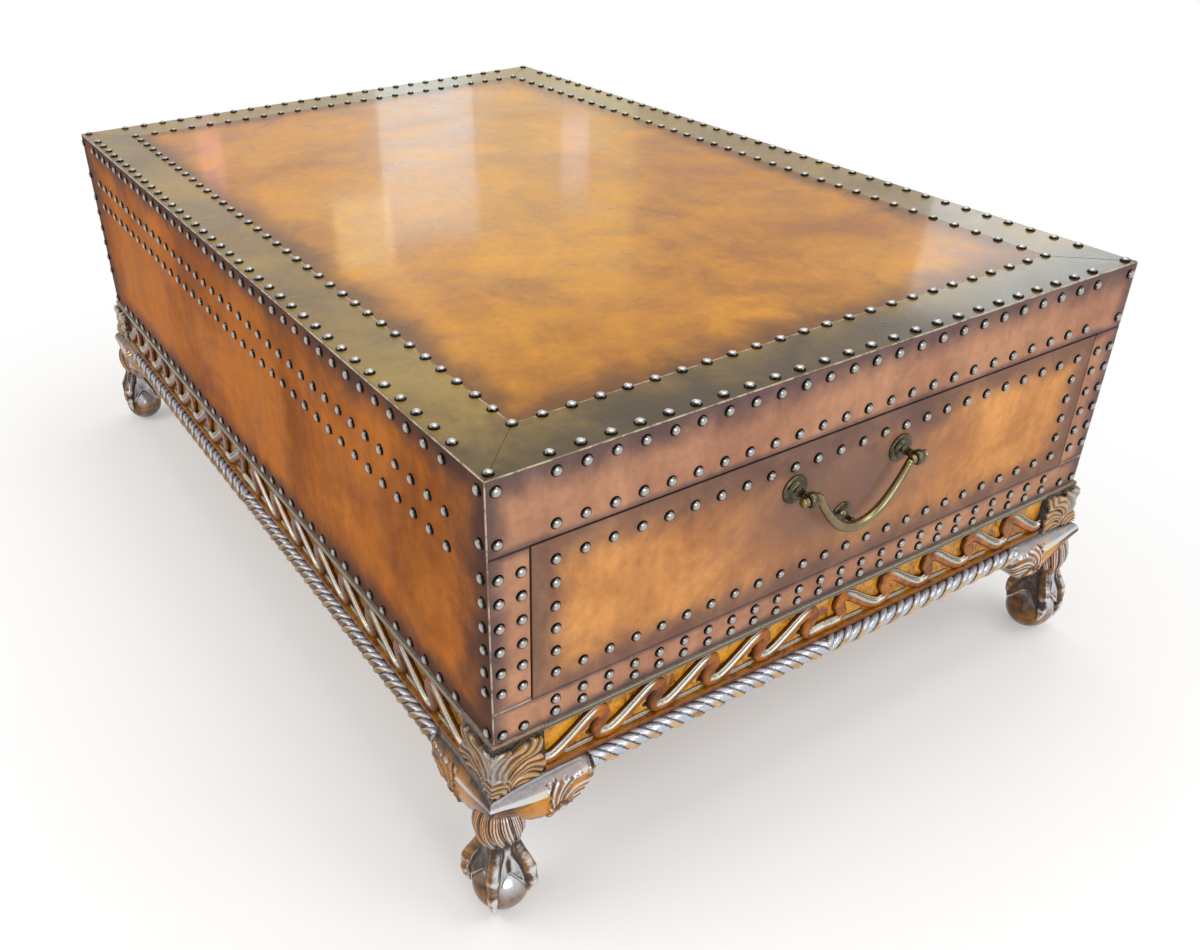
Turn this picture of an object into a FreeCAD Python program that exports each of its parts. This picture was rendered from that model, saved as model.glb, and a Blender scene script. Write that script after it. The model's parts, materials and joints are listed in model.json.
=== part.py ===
import FreeCAD, Part

import math
import os

import Sketcher

Vector = FreeCAD.Vector
Z_AXIS = Vector(0, 0, 1)

# Driving dimensions, in millimetres: name, value, what it is
DIMENSIONS = [
    ("case_length", 1219.2, "leather case, along the table"),
    ("case_width", 808.0, "leather case, across the table"),
    ("case_height", 273.5, "leather case, bottom edge to top"),
    ("base_height", 215.5, "floor to the case's bottom edge"),
    ("leather_thick", 1.6, "leather covering"),
    ("border_width", 65.5, "strip of dark leather round the top"),
    ("panel_thick", 18.0, "side, rear and top boards"),
    ("bottom_thick", 12.0, "bottom board and bay divider"),
    ("frame_thick", 20.0, "rails and stiles round the drawer"),
    ("opening_side", 39.7, "drawer opening in from the case's side"),
    ("opening_top", 73.0, "drawer opening down from the top"),
    ("opening_low", 34.0, "drawer opening up from the case's bottom"),
    ("drawer_gap", 1.2, "gap round the drawer front"),
    ("running_gap", 0.4, "gap between the drawer and what guides it"),
    ("drawer_depth", 560.0, "drawer front to drawer back"),
    ("drawer_front_thick", 20.0, "board behind the drawer leather"),
    ("drawer_side_thick", 14.0, "drawer sides and back"),
    ("drawer_side_drop", 24.9, "drawer sides' tops below the front's top"),
    ("drawer_bottom_thick", 6.0, "drawer bottom"),
    ("groove_depth", 5.0, "groove that holds the drawer bottom"),
    ("groove_up", 10.0, "groove up from the side's lower edge"),
    ("runner_width", 22.0, "part of a runner under the drawer side"),
    ("guide_height", 60.0, "strip beside the drawer side"),
    ("kicker_width", 42.0, "strip above the drawer side"),
    ("stop_length", 12.0, "block behind the drawer side"),
    ("rail_depth", 36.0, "apron rail, front to back"),
    ("rail_low", 143.0, "floor to the apron rail's lower edge"),
    ("rail_fillet_high", 6.0, "height of the thin moulding at the top"),
    ("rail_fillet_out", 3.0, "thin moulding out from the leather"),
    ("frieze_in", 1.5, "carved ground in from the leather"),
    ("shelf_out", 5.0, "lower fillet out from the leather"),
    ("shelf_high", 5.0, "height of the lower fillet"),
    ("rope_radius", 9.5, "rope moulding"),
    ("rope_out", 8.0, "rope's centre out from the leather"),
    ("rope_up", 150.5, "rope's centre above the floor"),
    ("corner_width", 52.0, "carved corner block, each way"),
    ("corner_bulge", 8.5, "swell of the carved corner block"),
    ("corner_foot_out", 4.5, "corner block's lower edge out"),
    ("corner_joint", 159.5, "floor to the joint of block and leg"),
    ("knee_out", 17.0, "knee's nose out from the leather"),
    ("knee_front", 4.0, "start of the knee's rounding out"),
    ("knee_depth", 34.0, "knee's back in from the leather"),
    ("knee_top", 158.5, "floor to the top of the knee"),
    ("knee_low", 101.0, "floor to the knee's lowest line"),
    ("knee_reach", 107.0, "leaf bracket's tip from the corner, and the rope's end"),
    ("foot_inset", 6.0, "foot's axis in from the case corner"),
    ("ankle_radius", 18.0, "ankle above the claws"),
    ("collar_radius", 21.0, "hairy collar above the ankle"),
    ("collar_up", 112.0, "floor to the collar's fullest line"),
    ("ankle_up", 84.0, "floor to the ankle's waist"),
    ("ball_radius", 28.5, "ball held by the claws"),
    ("ball_flat", 0.6, "flat where the ball meets the floor"),
    ("toe_reach", 33.0, "claw's knuckle out from the foot's axis"),
    ("toe_thick", 12.0, "claw across"),
    ("brace_length", 90.0, "corner brace's legs"),
    ("brace_thick", 22.0, "corner brace's height"),
    ("screw_radius", 2.5, "base screw's shank"),
    ("screw_head", 5.0, "base screw's head"),
    ("screw_bite", 9.0, "length of screw in the bottom board"),
    ("post_spacing", 141.0, "between the handle's posts"),
    ("handle_down", 121.0, "posts down from the top"),
    ("handle_out", 23.0, "bail's axis out from the drawer face"),
    ("rosette_radius", 15.0, "post's round plate"),
    ("rosette_thick", 3.5, "post's round plate"),
    ("rosette_step", 10.0, "radius of the plate's raised step"),
    ("rosette_rise", 3.5, "height of the raised step"),
    ("stem_radius", 4.5, "post between plate and eye"),
    ("eye_radius", 7.5, "round eye that holds the bail"),
    ("eye_width", 9.4, "eye along its bore"),
    ("pin_radius", 3.0, "bail's pin"),
    ("pin_gap", 0.08, "running clearance round the pin"),
    ("shank_radius", 2.5, "threaded shank behind the post"),
    ("shank_gap", 0.3, "clearance round the shank"),
    ("nut_radius", 5.0, "hex nut across its corners, halved"),
    ("nut_thick", 4.0, "hex nut"),
    ("thread_gap", 0.05, "nut's bore outside the shank"),
    ("bow_half", 61.0, "half the bail's bow, between collars"),
    ("bow_drop", 53.0, "bow's fall below its pins"),
    ("bow_end_radius", 3.5, "bow at its ends"),
    ("bow_mid_radius", 4.9, "bow at its middle"),
    ("collar_ring", 5.0, "bail's ring beside the eye"),
    ("finial_radius", 4.2, "knob outside the eye"),
    ("finial_length", 6.5, "knob outside the eye"),
    ("strike_radius", 13.5, "plate behind the bail"),
    ("strike_thick", 2.5, "plate behind the bail"),
    ("strike_stud", 3.2, "stud that the bail rests against"),
    ("strike_shank", 12.0, "strike's pin in the drawer front"),
]

doc = FreeCAD.newDocument("TrunkTable")
sheet = doc.addObject("Spreadsheet::Sheet", "Sizes")


class Size:
    """A length with its present value and the expression that keeps it to the sheet."""

    def __init__(self, value, text):
        self.value = value
        self.text = text

    def __add__(self, other):
        other = as_size(other)
        return Size(self.value + other.value, f"({self.text} + {other.text})")

    def __radd__(self, other):
        return as_size(other) + self

    def __sub__(self, other):
        other = as_size(other)
        return Size(self.value - other.value, f"({self.text} - {other.text})")

    def __rsub__(self, other):
        return as_size(other) - self

    def __mul__(self, other):
        other = as_size(other)
        return Size(self.value * other.value, f"({self.text} * {other.text})")

    def __rmul__(self, other):
        return as_size(other) * self

    def __truediv__(self, other):
        other = as_size(other)
        return Size(self.value / other.value, f"({self.text} / {other.text})")

    def __neg__(self):
        return Size(-self.value, f"(0 - {self.text})")


def as_size(number):
    return number if isinstance(number, Size) else Size(float(number), repr(number))


class Names:
    """The sheet's sizes, each under its own name."""


d = Names()
for row, (name, value, note) in enumerate(DIMENSIONS, start=1):
    sheet.set(f"A{row}", note)
    sheet.set(f"B{row}", str(value))
    sheet.setAlias(f"B{row}", name)
    setattr(d, name, Size(value, f"Sizes.{name}"))
doc.recompute()

nodes = []


def keep(piece):
    """Lists a finished sub-part; its label is the name of its file."""
    nodes.append(piece)
    return piece


def bind(thing, name, size):
    thing.setExpression(name, as_size(size).text)


def move(piece, x, y, z, quarter_turns=0):
    """Puts a piece at a point, turned about the vertical."""
    piece.Placement = FreeCAD.Placement(Vector(0, 0, 0), FreeCAD.Rotation(Z_AXIS, 90 * quarter_turns))
    for axis, size in zip("xyz", (x, y, z)):
        bind(piece, f"Placement.Base.{axis}", size)
    return piece


def slab(label, xs, ys, zs):
    """A straight board between three pairs of planes."""
    board = doc.addObject("Part::Box", label)
    for side, (low, high) in zip(("Length", "Width", "Height"), (xs, ys, zs)):
        bind(board, side, as_size(high) - low)
    return move(board, xs[0], ys[0], zs[0])


def rod(label, radius, length, x, y, z, axis=Z_AXIS):
    """A round bar from a point along an axis."""
    bar = doc.addObject("Part::Cylinder", label)
    bind(bar, "Radius", radius)
    bind(bar, "Height", length)
    bar.Placement = FreeCAD.Placement(Vector(0, 0, 0), FreeCAD.Rotation(Z_AXIS, axis))
    for letter, size in zip("xyz", (x, y, z)):
        bind(bar, f"Placement.Base.{letter}", size)
    return bar


def cut(label, base, tool):
    piece = doc.addObject("Part::Cut", label)
    piece.Base = base
    piece.Tool = tool
    return piece


def common(label, base, tool):
    piece = doc.addObject("Part::Common", label)
    piece.Base = base
    piece.Tool = tool
    return piece


def fuse(label, pieces):
    piece = doc.addObject("Part::MultiFuse", label)
    piece.Shapes = pieces
    return piece


def group(label, pieces):
    """Separate solids that share one node."""
    piece = doc.addObject("Part::Compound", label)
    piece.Links = pieces
    return piece


def new_body(label):
    return doc.addObject("PartDesign::Body", label)


def swelling_arc(start, end, bulge):
    """An arc between two points, always drawn anticlockwise."""
    if bulge < 0:
        start, end, bulge = end, start, -bulge
    run = end - start
    radius = (run.Length ** 2 / 4 + bulge ** 2) / (2 * bulge)
    left = Vector(-run.y, run.x, 0).normalize()
    centre = (start + end) * 0.5 + left * (radius - bulge)
    angles = [math.atan2(point.y - centre.y, point.x - centre.x) for point in (start, end)]
    return Part.ArcOfCircle(Part.Circle(centre, Z_AXIS, radius), *angles)


def outline(body, role, corners, bulges=None, offset=None):
    """A closed sketch on one of a body's own planes.

    corners holds the two coordinates of each point; bulges gives, for the edge
    that starts at a point, how far it swells as an arc to the right of its run.
    """
    bulges = bulges or {}
    sketch = body.newObject("Sketcher::SketchObject", f"{body.Name}_{role[:2]}_outline")
    plane = [item for item in body.Origin.OriginFeatures if item.Role == role][0]
    sketch.AttachmentSupport = [(plane, "")]
    sketch.MapMode = "FlatFace"
    if offset is not None:
        bind(sketch, "AttachmentOffset.Base.z", offset)
    corners = [(as_size(u), as_size(v)) for u, v in corners]
    count = len(corners)
    ends = {}
    for index in range(count):
        first = corners[index]
        second = corners[(index + 1) % count]
        start = Vector(first[0].value, first[1].value, 0)
        end = Vector(second[0].value, second[1].value, 0)
        if index in bulges:
            sketch.addGeometry(swelling_arc(start, end, bulges[index].value))
        else:
            sketch.addGeometry(Part.LineSegment(start, end))
        inward = index in bulges and bulges[index].value < 0
        ends[index] = (2, 1) if inward else (1, 2)
    for index in range(count):
        following = (index + 1) % count
        sketch.addConstraint(
            Sketcher.Constraint("Coincident", index, ends[index][1], following, ends[following][0])
        )
    for index, (u, v) in enumerate(corners):
        for kind, size in (("DistanceX", u), ("DistanceY", v)):
            number = sketch.addConstraint(
                Sketcher.Constraint(kind, -1, 1, index, ends[index][0], size.value)
            )
            bind(sketch, f"Constraints[{number}]", size)
    for index, bulge in bulges.items():
        first = corners[index]
        second = corners[(index + 1) % count]
        rise = bulge if bulge.value > 0 else -bulge
        across = second[0] - first[0]
        along = second[1] - first[1]
        radius = ((across * across + along * along) / 4 + rise * rise) / (2 * rise)
        number = sketch.addConstraint(Sketcher.Constraint("Radius", index, radius.value))
        bind(sketch, f"Constraints[{number}]", radius)
    return sketch


def ring(body, role, u, v, radius, offset=None):
    """A round sketch on one of a body's own planes."""
    sketch = body.newObject("Sketcher::SketchObject", f"{body.Name}_{role[:2]}_ring")
    plane = [item for item in body.Origin.OriginFeatures if item.Role == role][0]
    sketch.AttachmentSupport = [(plane, "")]
    sketch.MapMode = "FlatFace"
    if offset is not None:
        bind(sketch, "AttachmentOffset.Base.z", offset)
    u, v, radius = as_size(u), as_size(v), as_size(radius)
    sketch.addGeometry(Part.Circle(Vector(u.value, v.value, 0), Z_AXIS, radius.value))
    for kind, size in (("DistanceX", u), ("DistanceY", v)):
        number = sketch.addConstraint(Sketcher.Constraint(kind, -1, 1, 0, 3, size.value))
        bind(sketch, f"Constraints[{number}]", size)
    number = sketch.addConstraint(Sketcher.Constraint("Radius", 0, radius.value))
    bind(sketch, f"Constraints[{number}]", radius)
    return sketch


def pad(body, sketch, length, symmetric=False, reverse=False):
    feature = body.newObject("PartDesign::Pad", f"{body.Name}_pad")
    feature.Profile = sketch
    feature.SideType = "Symmetric" if symmetric else "One side"
    feature.Reversed = reverse
    bind(feature, "Length", length)
    return feature


def pocket(body, sketch, length, symmetric=False, reverse=False):
    feature = body.newObject("PartDesign::Pocket", f"{body.Name}_pocket")
    feature.Profile = sketch
    feature.SideType = "Symmetric" if symmetric else "One side"
    feature.Reversed = reverse
    bind(feature, "Length", length)
    return feature


def turn(body, sketch, axis="H_Axis"):
    feature = body.newObject("PartDesign::Revolution", f"{body.Name}_turning")
    feature.Profile = sketch
    feature.ReferenceAxis = (sketch, [axis])
    feature.Angle = 360
    return feature


# Planes that several pieces share
half_length = d.case_length / 2
half_width = d.case_width / 2
case_low = d.base_height
case_top = d.base_height + d.case_height
wood_x = half_length - d.leather_thick
wood_y = half_width - d.leather_thick
wood_top = case_top - d.leather_thick
under_top = wood_top - d.panel_thick
inner_y = wood_y - d.panel_thick
inner_rear = -wood_x + d.panel_thick
frame_back = wood_x - d.frame_thick
bottom_top = case_low + d.bottom_thick
opening_y = half_width - d.opening_side
opening_high = case_top - d.opening_top
opening_base = case_low + d.opening_low


def build_carcass():
    """Boards of the case, under the leather."""
    keep(slab("top_panel", (-wood_x, wood_x), (-wood_y, wood_y), (under_top, wood_top)))
    for label, low, high in (
        ("side_panel_left", -wood_y, -inner_y),
        ("side_panel_right", inner_y, wood_y),
    ):
        keep(slab(label, (-wood_x, frame_back), (low, high), (case_low, under_top)))
    keep(slab("end_panel_rear", (-wood_x, inner_rear), (-inner_y, inner_y), (case_low, under_top)))
    keep(slab("bottom_panel", (inner_rear, frame_back), (-inner_y, inner_y), (case_low, bottom_top)))
    front = (frame_back, wood_x)
    keep(slab("front_rail_top", front, (-opening_y, opening_y), (opening_high, under_top)))
    keep(slab("front_rail_bottom", front, (-opening_y, opening_y), (case_low, opening_base)))
    keep(slab("front_stile_left", front, (-wood_y, -opening_y), (case_low, under_top)))
    keep(slab("front_stile_right", front, (opening_y, wood_y), (case_low, under_top)))


drawer_back = wood_x - d.drawer_depth
divider_front = drawer_back - d.running_gap - d.stop_length
side_low = opening_base + d.running_gap
side_high = opening_high - d.drawer_gap - d.drawer_side_drop


def build_bay():
    """What carries, guides and stops the drawer."""
    bay = (divider_front, frame_back)
    keep(
        slab(
            "bay_divider",
            (divider_front - d.bottom_thick, divider_front),
            (-inner_y, inner_y),
            (bottom_top, under_top),
        )
    )
    kicker_low = side_high + d.running_gap
    for side, mirror in (("left", -1), ("right", 1)):
        strips = (
            ("drawer_runner", opening_y - d.runner_width, (bottom_top, opening_base)),
            ("drawer_guide", opening_y, (opening_base, opening_base + d.guide_height)),
            ("drawer_kicker", inner_y - d.kicker_width, (kicker_low, under_top)),
        )
        for label, inner, heights in strips:
            across = sorted_pair(inner * mirror, inner_y * mirror)
            keep(slab(f"{label}_{side}", bay, across, heights))
    blocks = []
    for side, mirror in (("left", -1), ("right", 1)):
        across = sorted_pair((opening_y - d.runner_width) * mirror, (opening_y - d.drawer_gap) * mirror)
        blocks.append(
            slab(
                f"stop_{side}",
                (divider_front, divider_front + d.stop_length),
                across,
                (opening_base, opening_base + d.guide_height),
            )
        )
    keep(group("drawer_stops", blocks))


def sorted_pair(first, second):
    return (first, second) if first.value < second.value else (second, first)


def mitred_strip(label, length, quarter_turns, x, y):
    """A border of the top: full length outside, mitred at both ends."""
    body = new_body(label)
    half = length / 2
    points = [
        (-half, 0),
        (-half + d.border_width, -d.border_width),
        (half - d.border_width, -d.border_width),
        (half, 0),
    ]
    pad(body, outline(body, "XY_Plane", points), d.leather_thick)
    return keep(move(body, x, y, wood_top, quarter_turns))


def build_leather():
    """Leather glued over the boards, in the pieces that the seams show."""
    field_x = half_length - d.border_width
    field_y = half_width - d.border_width
    keep(slab("top_leather_field", (-field_x, field_x), (-field_y, field_y), (wood_top, case_top)))
    mitred_strip("top_border_right", d.case_length, 0, 0, half_width)
    mitred_strip("top_border_left", d.case_length, 2, 0, -half_width)
    mitred_strip("top_border_front", d.case_width, -1, half_length, 0)
    mitred_strip("top_border_rear", d.case_width, 1, -half_length, 0)
    whole = (-half_length, half_length)
    keep(slab("side_leather_left", whole, (-half_width, -wood_y), (case_low, wood_top)))
    keep(slab("side_leather_right", whole, (wood_y, half_width), (case_low, wood_top)))
    keep(slab("end_leather_rear", (-half_length, -wood_x), (-wood_y, wood_y), (case_low, wood_top)))
    skin = (wood_x, half_length)
    keep(slab("front_leather_top", skin, (-wood_y, wood_y), (opening_high, wood_top)))
    keep(slab("front_leather_bottom", skin, (-wood_y, wood_y), (case_low, opening_base)))
    keep(slab("front_leather_left", skin, (-wood_y, -opening_y), (opening_base, opening_high)))
    keep(slab("front_leather_right", skin, (opening_y, wood_y), (opening_base, opening_high)))


SIDES = (
    ("right", 0, 0, half_width),
    ("left", 2, 0, -half_width),
    ("front", -1, half_length, 0),
    ("rear", 1, -half_length, 0),
)


def run_of(side):
    """Length of the case along one side."""
    return d.case_length if side in ("left", "right") else d.case_width


def build_base_rails():
    """Carved rails under the case, and the rope moulding in the cove below each.

    Each is drawn facing +Y with its length along X: the first coordinate is out
    from the leather, the second is up from the floor.
    """
    shelf_up = d.rope_up + root(d.rope_radius, d.rope_out - d.shelf_out)
    cove_foot = d.rope_out - root(d.rope_radius, d.rope_up - d.rail_low)
    for side, quarter_turns, x, y in SIDES:
        body = new_body(f"apron_rail_{side}")
        points = [
            (cove_foot, d.rail_low),
            (d.shelf_out, shelf_up),
            (d.shelf_out, shelf_up + d.shelf_high),
            (-d.frieze_in, shelf_up + d.shelf_high),
            (-d.frieze_in, case_low - d.rail_fillet_high),
            (d.rail_fillet_out, case_low - d.rail_fillet_high),
            (d.rail_fillet_out, case_low),
            (-d.rail_depth, case_low),
            (-d.rail_depth, d.rail_low),
        ]
        across = d.shelf_out - cove_foot
        along = shelf_up - d.rail_low
        chord_squared = across * across + along * along
        sagitta = d.rope_radius - square_root(d.rope_radius * d.rope_radius - chord_squared / 4)
        sketch = outline(body, "YZ_Plane", points, {0: -sagitta})
        pad(body, sketch, run_of(side) - 2 * d.corner_width, symmetric=True)
        keep(move(body, x, y, 0, quarter_turns))
    for side, quarter_turns, x, y in SIDES:
        body = new_body(f"rope_moulding_{side}")
        sketch = ring(body, "YZ_Plane", d.rope_out, d.rope_up, d.rope_radius)
        pad(body, sketch, run_of(side) - 2 * d.knee_reach, symmetric=True)
        keep(move(body, x, y, 0, quarter_turns))


def square_root(size):
    return Size(math.sqrt(size.value), f"sqrt({size.text})")


def root(radius, offset):
    """Half the chord of a circle at a distance from its centre."""
    return square_root(radius * radius - offset * offset)


CORNERS = (
    ("front_right", 0, half_length, half_width),
    ("rear_right", 1, -half_length, half_width),
    ("rear_left", 2, -half_length, -half_width),
    ("front_left", 3, half_length, -half_width),
)


def build_corner_blocks():
    """Posts at the base's corners, swelled where the acanthus is carved.

    The same profile is run both ways and the shape common to both is kept, so
    the swell is mitred at the corner.
    """
    fillet_low = case_low - d.rail_fillet_high
    for corner, quarter_turns, x, y in CORNERS:
        runs = []
        for role in ("XZ_Plane", "YZ_Plane"):
            body = new_body(f"corner_run_{role[:2]}_{corner}")
            points = [
                (-d.corner_width, d.corner_joint),
                (d.corner_foot_out, d.corner_joint),
                (0, fillet_low),
                (d.rail_fillet_out, fillet_low),
                (d.rail_fillet_out, case_low),
                (-d.corner_width, case_low),
            ]
            sketch = outline(body, role, points, {1: d.corner_bulge})
            pad(body, sketch, 2 * d.corner_width, symmetric=True)
            runs.append(body)
        block = common(f"corner_block_{corner}", *runs)
        keep(move(block, x, y, 0, quarter_turns))


# A claw's outline from ankle to tip and back: out as a share of the knuckle's reach, up as a share of the
# ankle's height. The front claw reaches the floor.
FRONT_CLAW_SHARES = (
    (0.20, 1.10),
    (0.56, 1.07),
    (0.84, 0.93),
    (1.02, 0.76),
    (1.12, 0.58),
    (1.08, 0.42),
    (1.10, 0.28),
    (0.96, 0.10),
    (0.66, 0.02),
    (0.58, 0.03),
    (0.55, 0.30),
    (0.20, 0.60),
)
# The side claws end halfway down the ball
SIDE_CLAW_SHARES = (
    (0.20, 1.10),
    (0.56, 1.07),
    (0.86, 0.94),
    (1.06, 0.77),
    (1.14, 0.62),
    (1.08, 0.50),
    (1.10, 0.41),
    (1.02, 0.32),
    (0.92, 0.31),
    (0.80, 0.38),
    (0.55, 0.45),
    (0.20, 0.60),
)
# The rear claw ends high on the ball
REAR_CLAW_SHARES = (
    (0.20, 1.10),
    (0.56, 1.06),
    (0.78, 0.94),
    (0.93, 0.78),
    (1.00, 0.63),
    (0.96, 0.50),
    (0.84, 0.44),
    (0.50, 0.50),
    (0.20, 0.60),
)
# Where the side claws stand round the foot, in degrees from the corner's diagonal
SIDE_TURNS = (80, -80)
REAR_TURN = 180
# Knee's rounding from its low edge to its top: out as shares of the nose, up as shares of the height
NOSE_SHARES = (
    (0.00, 0.00),
    (0.46, 0.09),
    (0.83, 0.27),
    (1.00, 0.50),
    (0.83, 0.73),
    (0.46, 0.91),
    (0.00, 1.00),
)
# Knee's lower outline from the corner to the leaf's tip: along and up as shares of its reach and height
KNEE_SHARES = (
    (0.00, 0.60),
    (0.08, 0.50),
    (0.15, 0.35),
    (0.22, 0.20),
    (0.30, 0.09),
    (0.42, 0.01),
    (0.56, 0.00),
    (0.80, 0.16),
    (0.95, 0.50),
    (1.00, 0.62),
    (0.98, 0.76),
    (0.93, 0.86),
)
# Ball's rings: out and up from its centre as shares of its radius, above the flat that it stands on
BALL_SHARES = ((0.55, -0.84), (0.83, -0.56), (0.98, -0.20), (0.98, 0.20), (0.83, 0.56), (0.63, 0.77))
# Web between the claws: out as a share of the ball's radius, up as a share of the ankle's height
WEB_OUT_SHARE = 0.72
WEB_UP_SHARE = 0.615
# Ends of the leg's swelling collar, as shares of the ankle's height
ANKLE_START_SHARE = 0.80
COLLAR_START_SHARE = 1.06
FOOT_SIDES = 16


def knee_wing():
    """Half of the knee: a rounded limb under the end, cut to its bracket outline."""
    body = new_body("knee_wing")
    height = d.knee_top - d.knee_low
    nose = d.knee_out - d.knee_front
    points = [(-d.knee_depth, d.knee_top), (-d.knee_depth, d.knee_low)]
    points += [(d.knee_front + nose * out, d.knee_low + height * up) for out, up in NOSE_SHARES]
    start = 2 * d.knee_out
    sketch = outline(body, "XZ_Plane", points, offset=-start)
    pad(body, sketch, d.knee_reach + start)
    below = d.knee_low - d.knee_out
    edge = [(-d.knee_reach * along, d.knee_low + height * up) for along, up in KNEE_SHARES]
    beyond = -(d.knee_reach + d.knee_front)
    at_corner = d.knee_low + height * KNEE_SHARES[0][1]
    waste = [(start, below), (start, at_corner), *edge, (beyond, d.knee_top), (beyond, below)]
    pocket(body, outline(body, "YZ_Plane", waste), 2 * d.knee_depth + 2 * d.knee_out, symmetric=True)
    return body


def flat_sided(label, rings, sides):
    """A solid about the vertical through rings of a radius and a height, with flat sides."""
    loops = []
    angles = [2 * math.pi * side / sides for side in range(sides)]
    for size, level in rings:
        radius = size.value
        loop = [Vector(radius * math.cos(a), radius * math.sin(a), level.value) for a in angles]
        loops.append(loop + loop[:1])
    faces = [Part.Face(Part.makePolygon(loop)) for loop in (loops[0], loops[-1])]
    for lower, upper in zip(loops, loops[1:]):
        for side in range(sides):
            edge = [lower[side], lower[side + 1], upper[side + 1], upper[side], lower[side]]
            faces.append(Part.Face(Part.makePolygon(edge)))
    solid = doc.addObject("Part::Feature", label)
    solid.Shape = Part.makeSolid(Part.makeShell(faces))
    return solid


def foot_core():
    """Ball, ankle and collar, one carving with flat sides."""
    ball = d.ball_radius
    centre = ball - d.ball_flat
    rings = [(root(ball, centre), as_size(0))]
    rings += [(ball * out, centre + ball * up) for out, up in BALL_SHARES]
    rings += [
        (ball * WEB_OUT_SHARE, d.ankle_up * WEB_UP_SHARE),
        (d.ankle_radius, d.ankle_up * ANKLE_START_SHARE),
        (d.ankle_radius, d.ankle_up),
        (d.collar_radius, d.ankle_up * COLLAR_START_SHARE),
        (d.collar_radius, d.collar_up),
        (d.ankle_radius, d.knee_top - d.knee_out),
    ]
    core = flat_sided("foot_core", rings, FOOT_SIDES)
    return move(core, -d.foot_inset, -d.foot_inset, 0)


def claw(label, turn_degrees, shares):
    """One claw, drawn from the side and as thick as its toe."""
    body = new_body(label)
    points = [(d.toe_reach * out, d.ankle_up * up) for out, up in shares]
    pad(body, outline(body, "XZ_Plane", points), d.toe_thick, symmetric=True)
    move(body, -d.foot_inset, -d.foot_inset, 0)
    body.Placement.Rotation = FreeCAD.Rotation(Z_AXIS, 45 + turn_degrees)
    return body


def leg_pattern():
    """One leg in the frame of its corner: knee, collar, ankle, ball and claws."""
    wing = knee_wing()
    wedge = new_body("mitre_wedge")
    far = d.knee_reach + d.knee_out
    near = 2 * d.knee_out
    corners = [(-far, -far), (near, near), (near, -far)]
    pad(wedge, outline(wedge, "XY_Plane", corners), 2 * d.knee_top)
    mitred = common("knee_mitred", wing, wedge)
    rebate = slab(
        "rail_rebate",
        (-d.knee_depth * 2, d.shelf_out),
        (-far, -d.corner_width),
        (d.rail_low, d.base_height),
    )
    half = cut("knee_half", mitred, rebate)
    other_half = doc.addObject("Part::Mirroring", "knee_other_half")
    other_half.Source = half
    other_half.Normal = Vector(1, -1, 0)

    pad_up = slab(
        "knee_block",
        (-d.corner_width, 0),
        (-d.corner_width, 0),
        (d.rail_low, d.corner_joint),
    )

    claws = [claw("claw_front", 0, FRONT_CLAW_SHARES), claw("claw_rear", REAR_TURN, REAR_CLAW_SHARES)]
    claws += [claw(f"claw_side_{number}", turns, SIDE_CLAW_SHARES) for number, turns in enumerate(SIDE_TURNS)]
    whole = fuse("leg_whole", [half, other_half, pad_up, foot_core(), *claws])
    floor = slab("floor_cut", (-far, far), (-far, far), (-d.base_height, 0))
    return cut("leg_pattern", whole, floor)


def build_legs():
    pattern = leg_pattern()
    for corner, quarter_turns, x, y in CORNERS:
        leg = group(f"leg_{corner}", [pattern])
        keep(move(leg, x, y, 0, quarter_turns))


# A brace's two screws, each way from the case's corner, as shares of the brace's far ends
SCREW_SHARES = ((0.72, 0.38), (0.38, 0.72))
SCREW_SIDES = 8


def upright_prism(label, radius, length, z):
    """A short bar with flat sides, standing on a level."""
    bar = doc.addObject("Part::Prism", label)
    bar.Polygon = SCREW_SIDES
    bind(bar, "Circumradius", radius)
    bind(bar, "Height", length)
    return move(bar, 0, 0, z)


def build_fastenings():
    """Braces in the base's inner corners, and the screws that hold the case."""
    brace_low = case_low - d.brace_thick
    far = -d.corner_width - d.brace_length
    inner = -d.rail_depth
    block = -d.corner_width
    shank = upright_prism("screw_shank", d.screw_radius, d.brace_thick + d.screw_bite, brace_low)
    head = upright_prism("screw_head", d.screw_head, d.screw_radius, brace_low - d.screw_radius)
    screw = fuse("screw", [shank, head])
    braces = []
    screws = []
    for corner, quarter_turns, x, y in CORNERS:
        body = new_body(f"brace_{corner}")
        points = [(block, inner), (far, inner), (inner, far), (inner, block), (block, block)]
        pad(body, outline(body, "XY_Plane", points), d.brace_thick)
        braces.append(move(body, x, y, brace_low, quarter_turns))
        toward_x = 1 if x.value > 0 else -1
        toward_y = 1 if y.value > 0 else -1
        for number, (u, v) in enumerate(SCREW_SHARES):
            copy = group(f"screw_{corner}_{number}", [screw])
            screws.append(move(copy, x + far * u * toward_x, y + far * v * toward_y, 0))
    keep(group("corner_braces", braces))
    keep(group("base_screws", screws))


front_back = wood_x - d.drawer_front_thick
drawer_y = opening_y - d.drawer_gap
drawer_low = opening_base + d.drawer_gap
drawer_high = opening_high - d.drawer_gap
handle_up = case_top - d.handle_down
strike_up = handle_up - d.bow_drop


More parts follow.
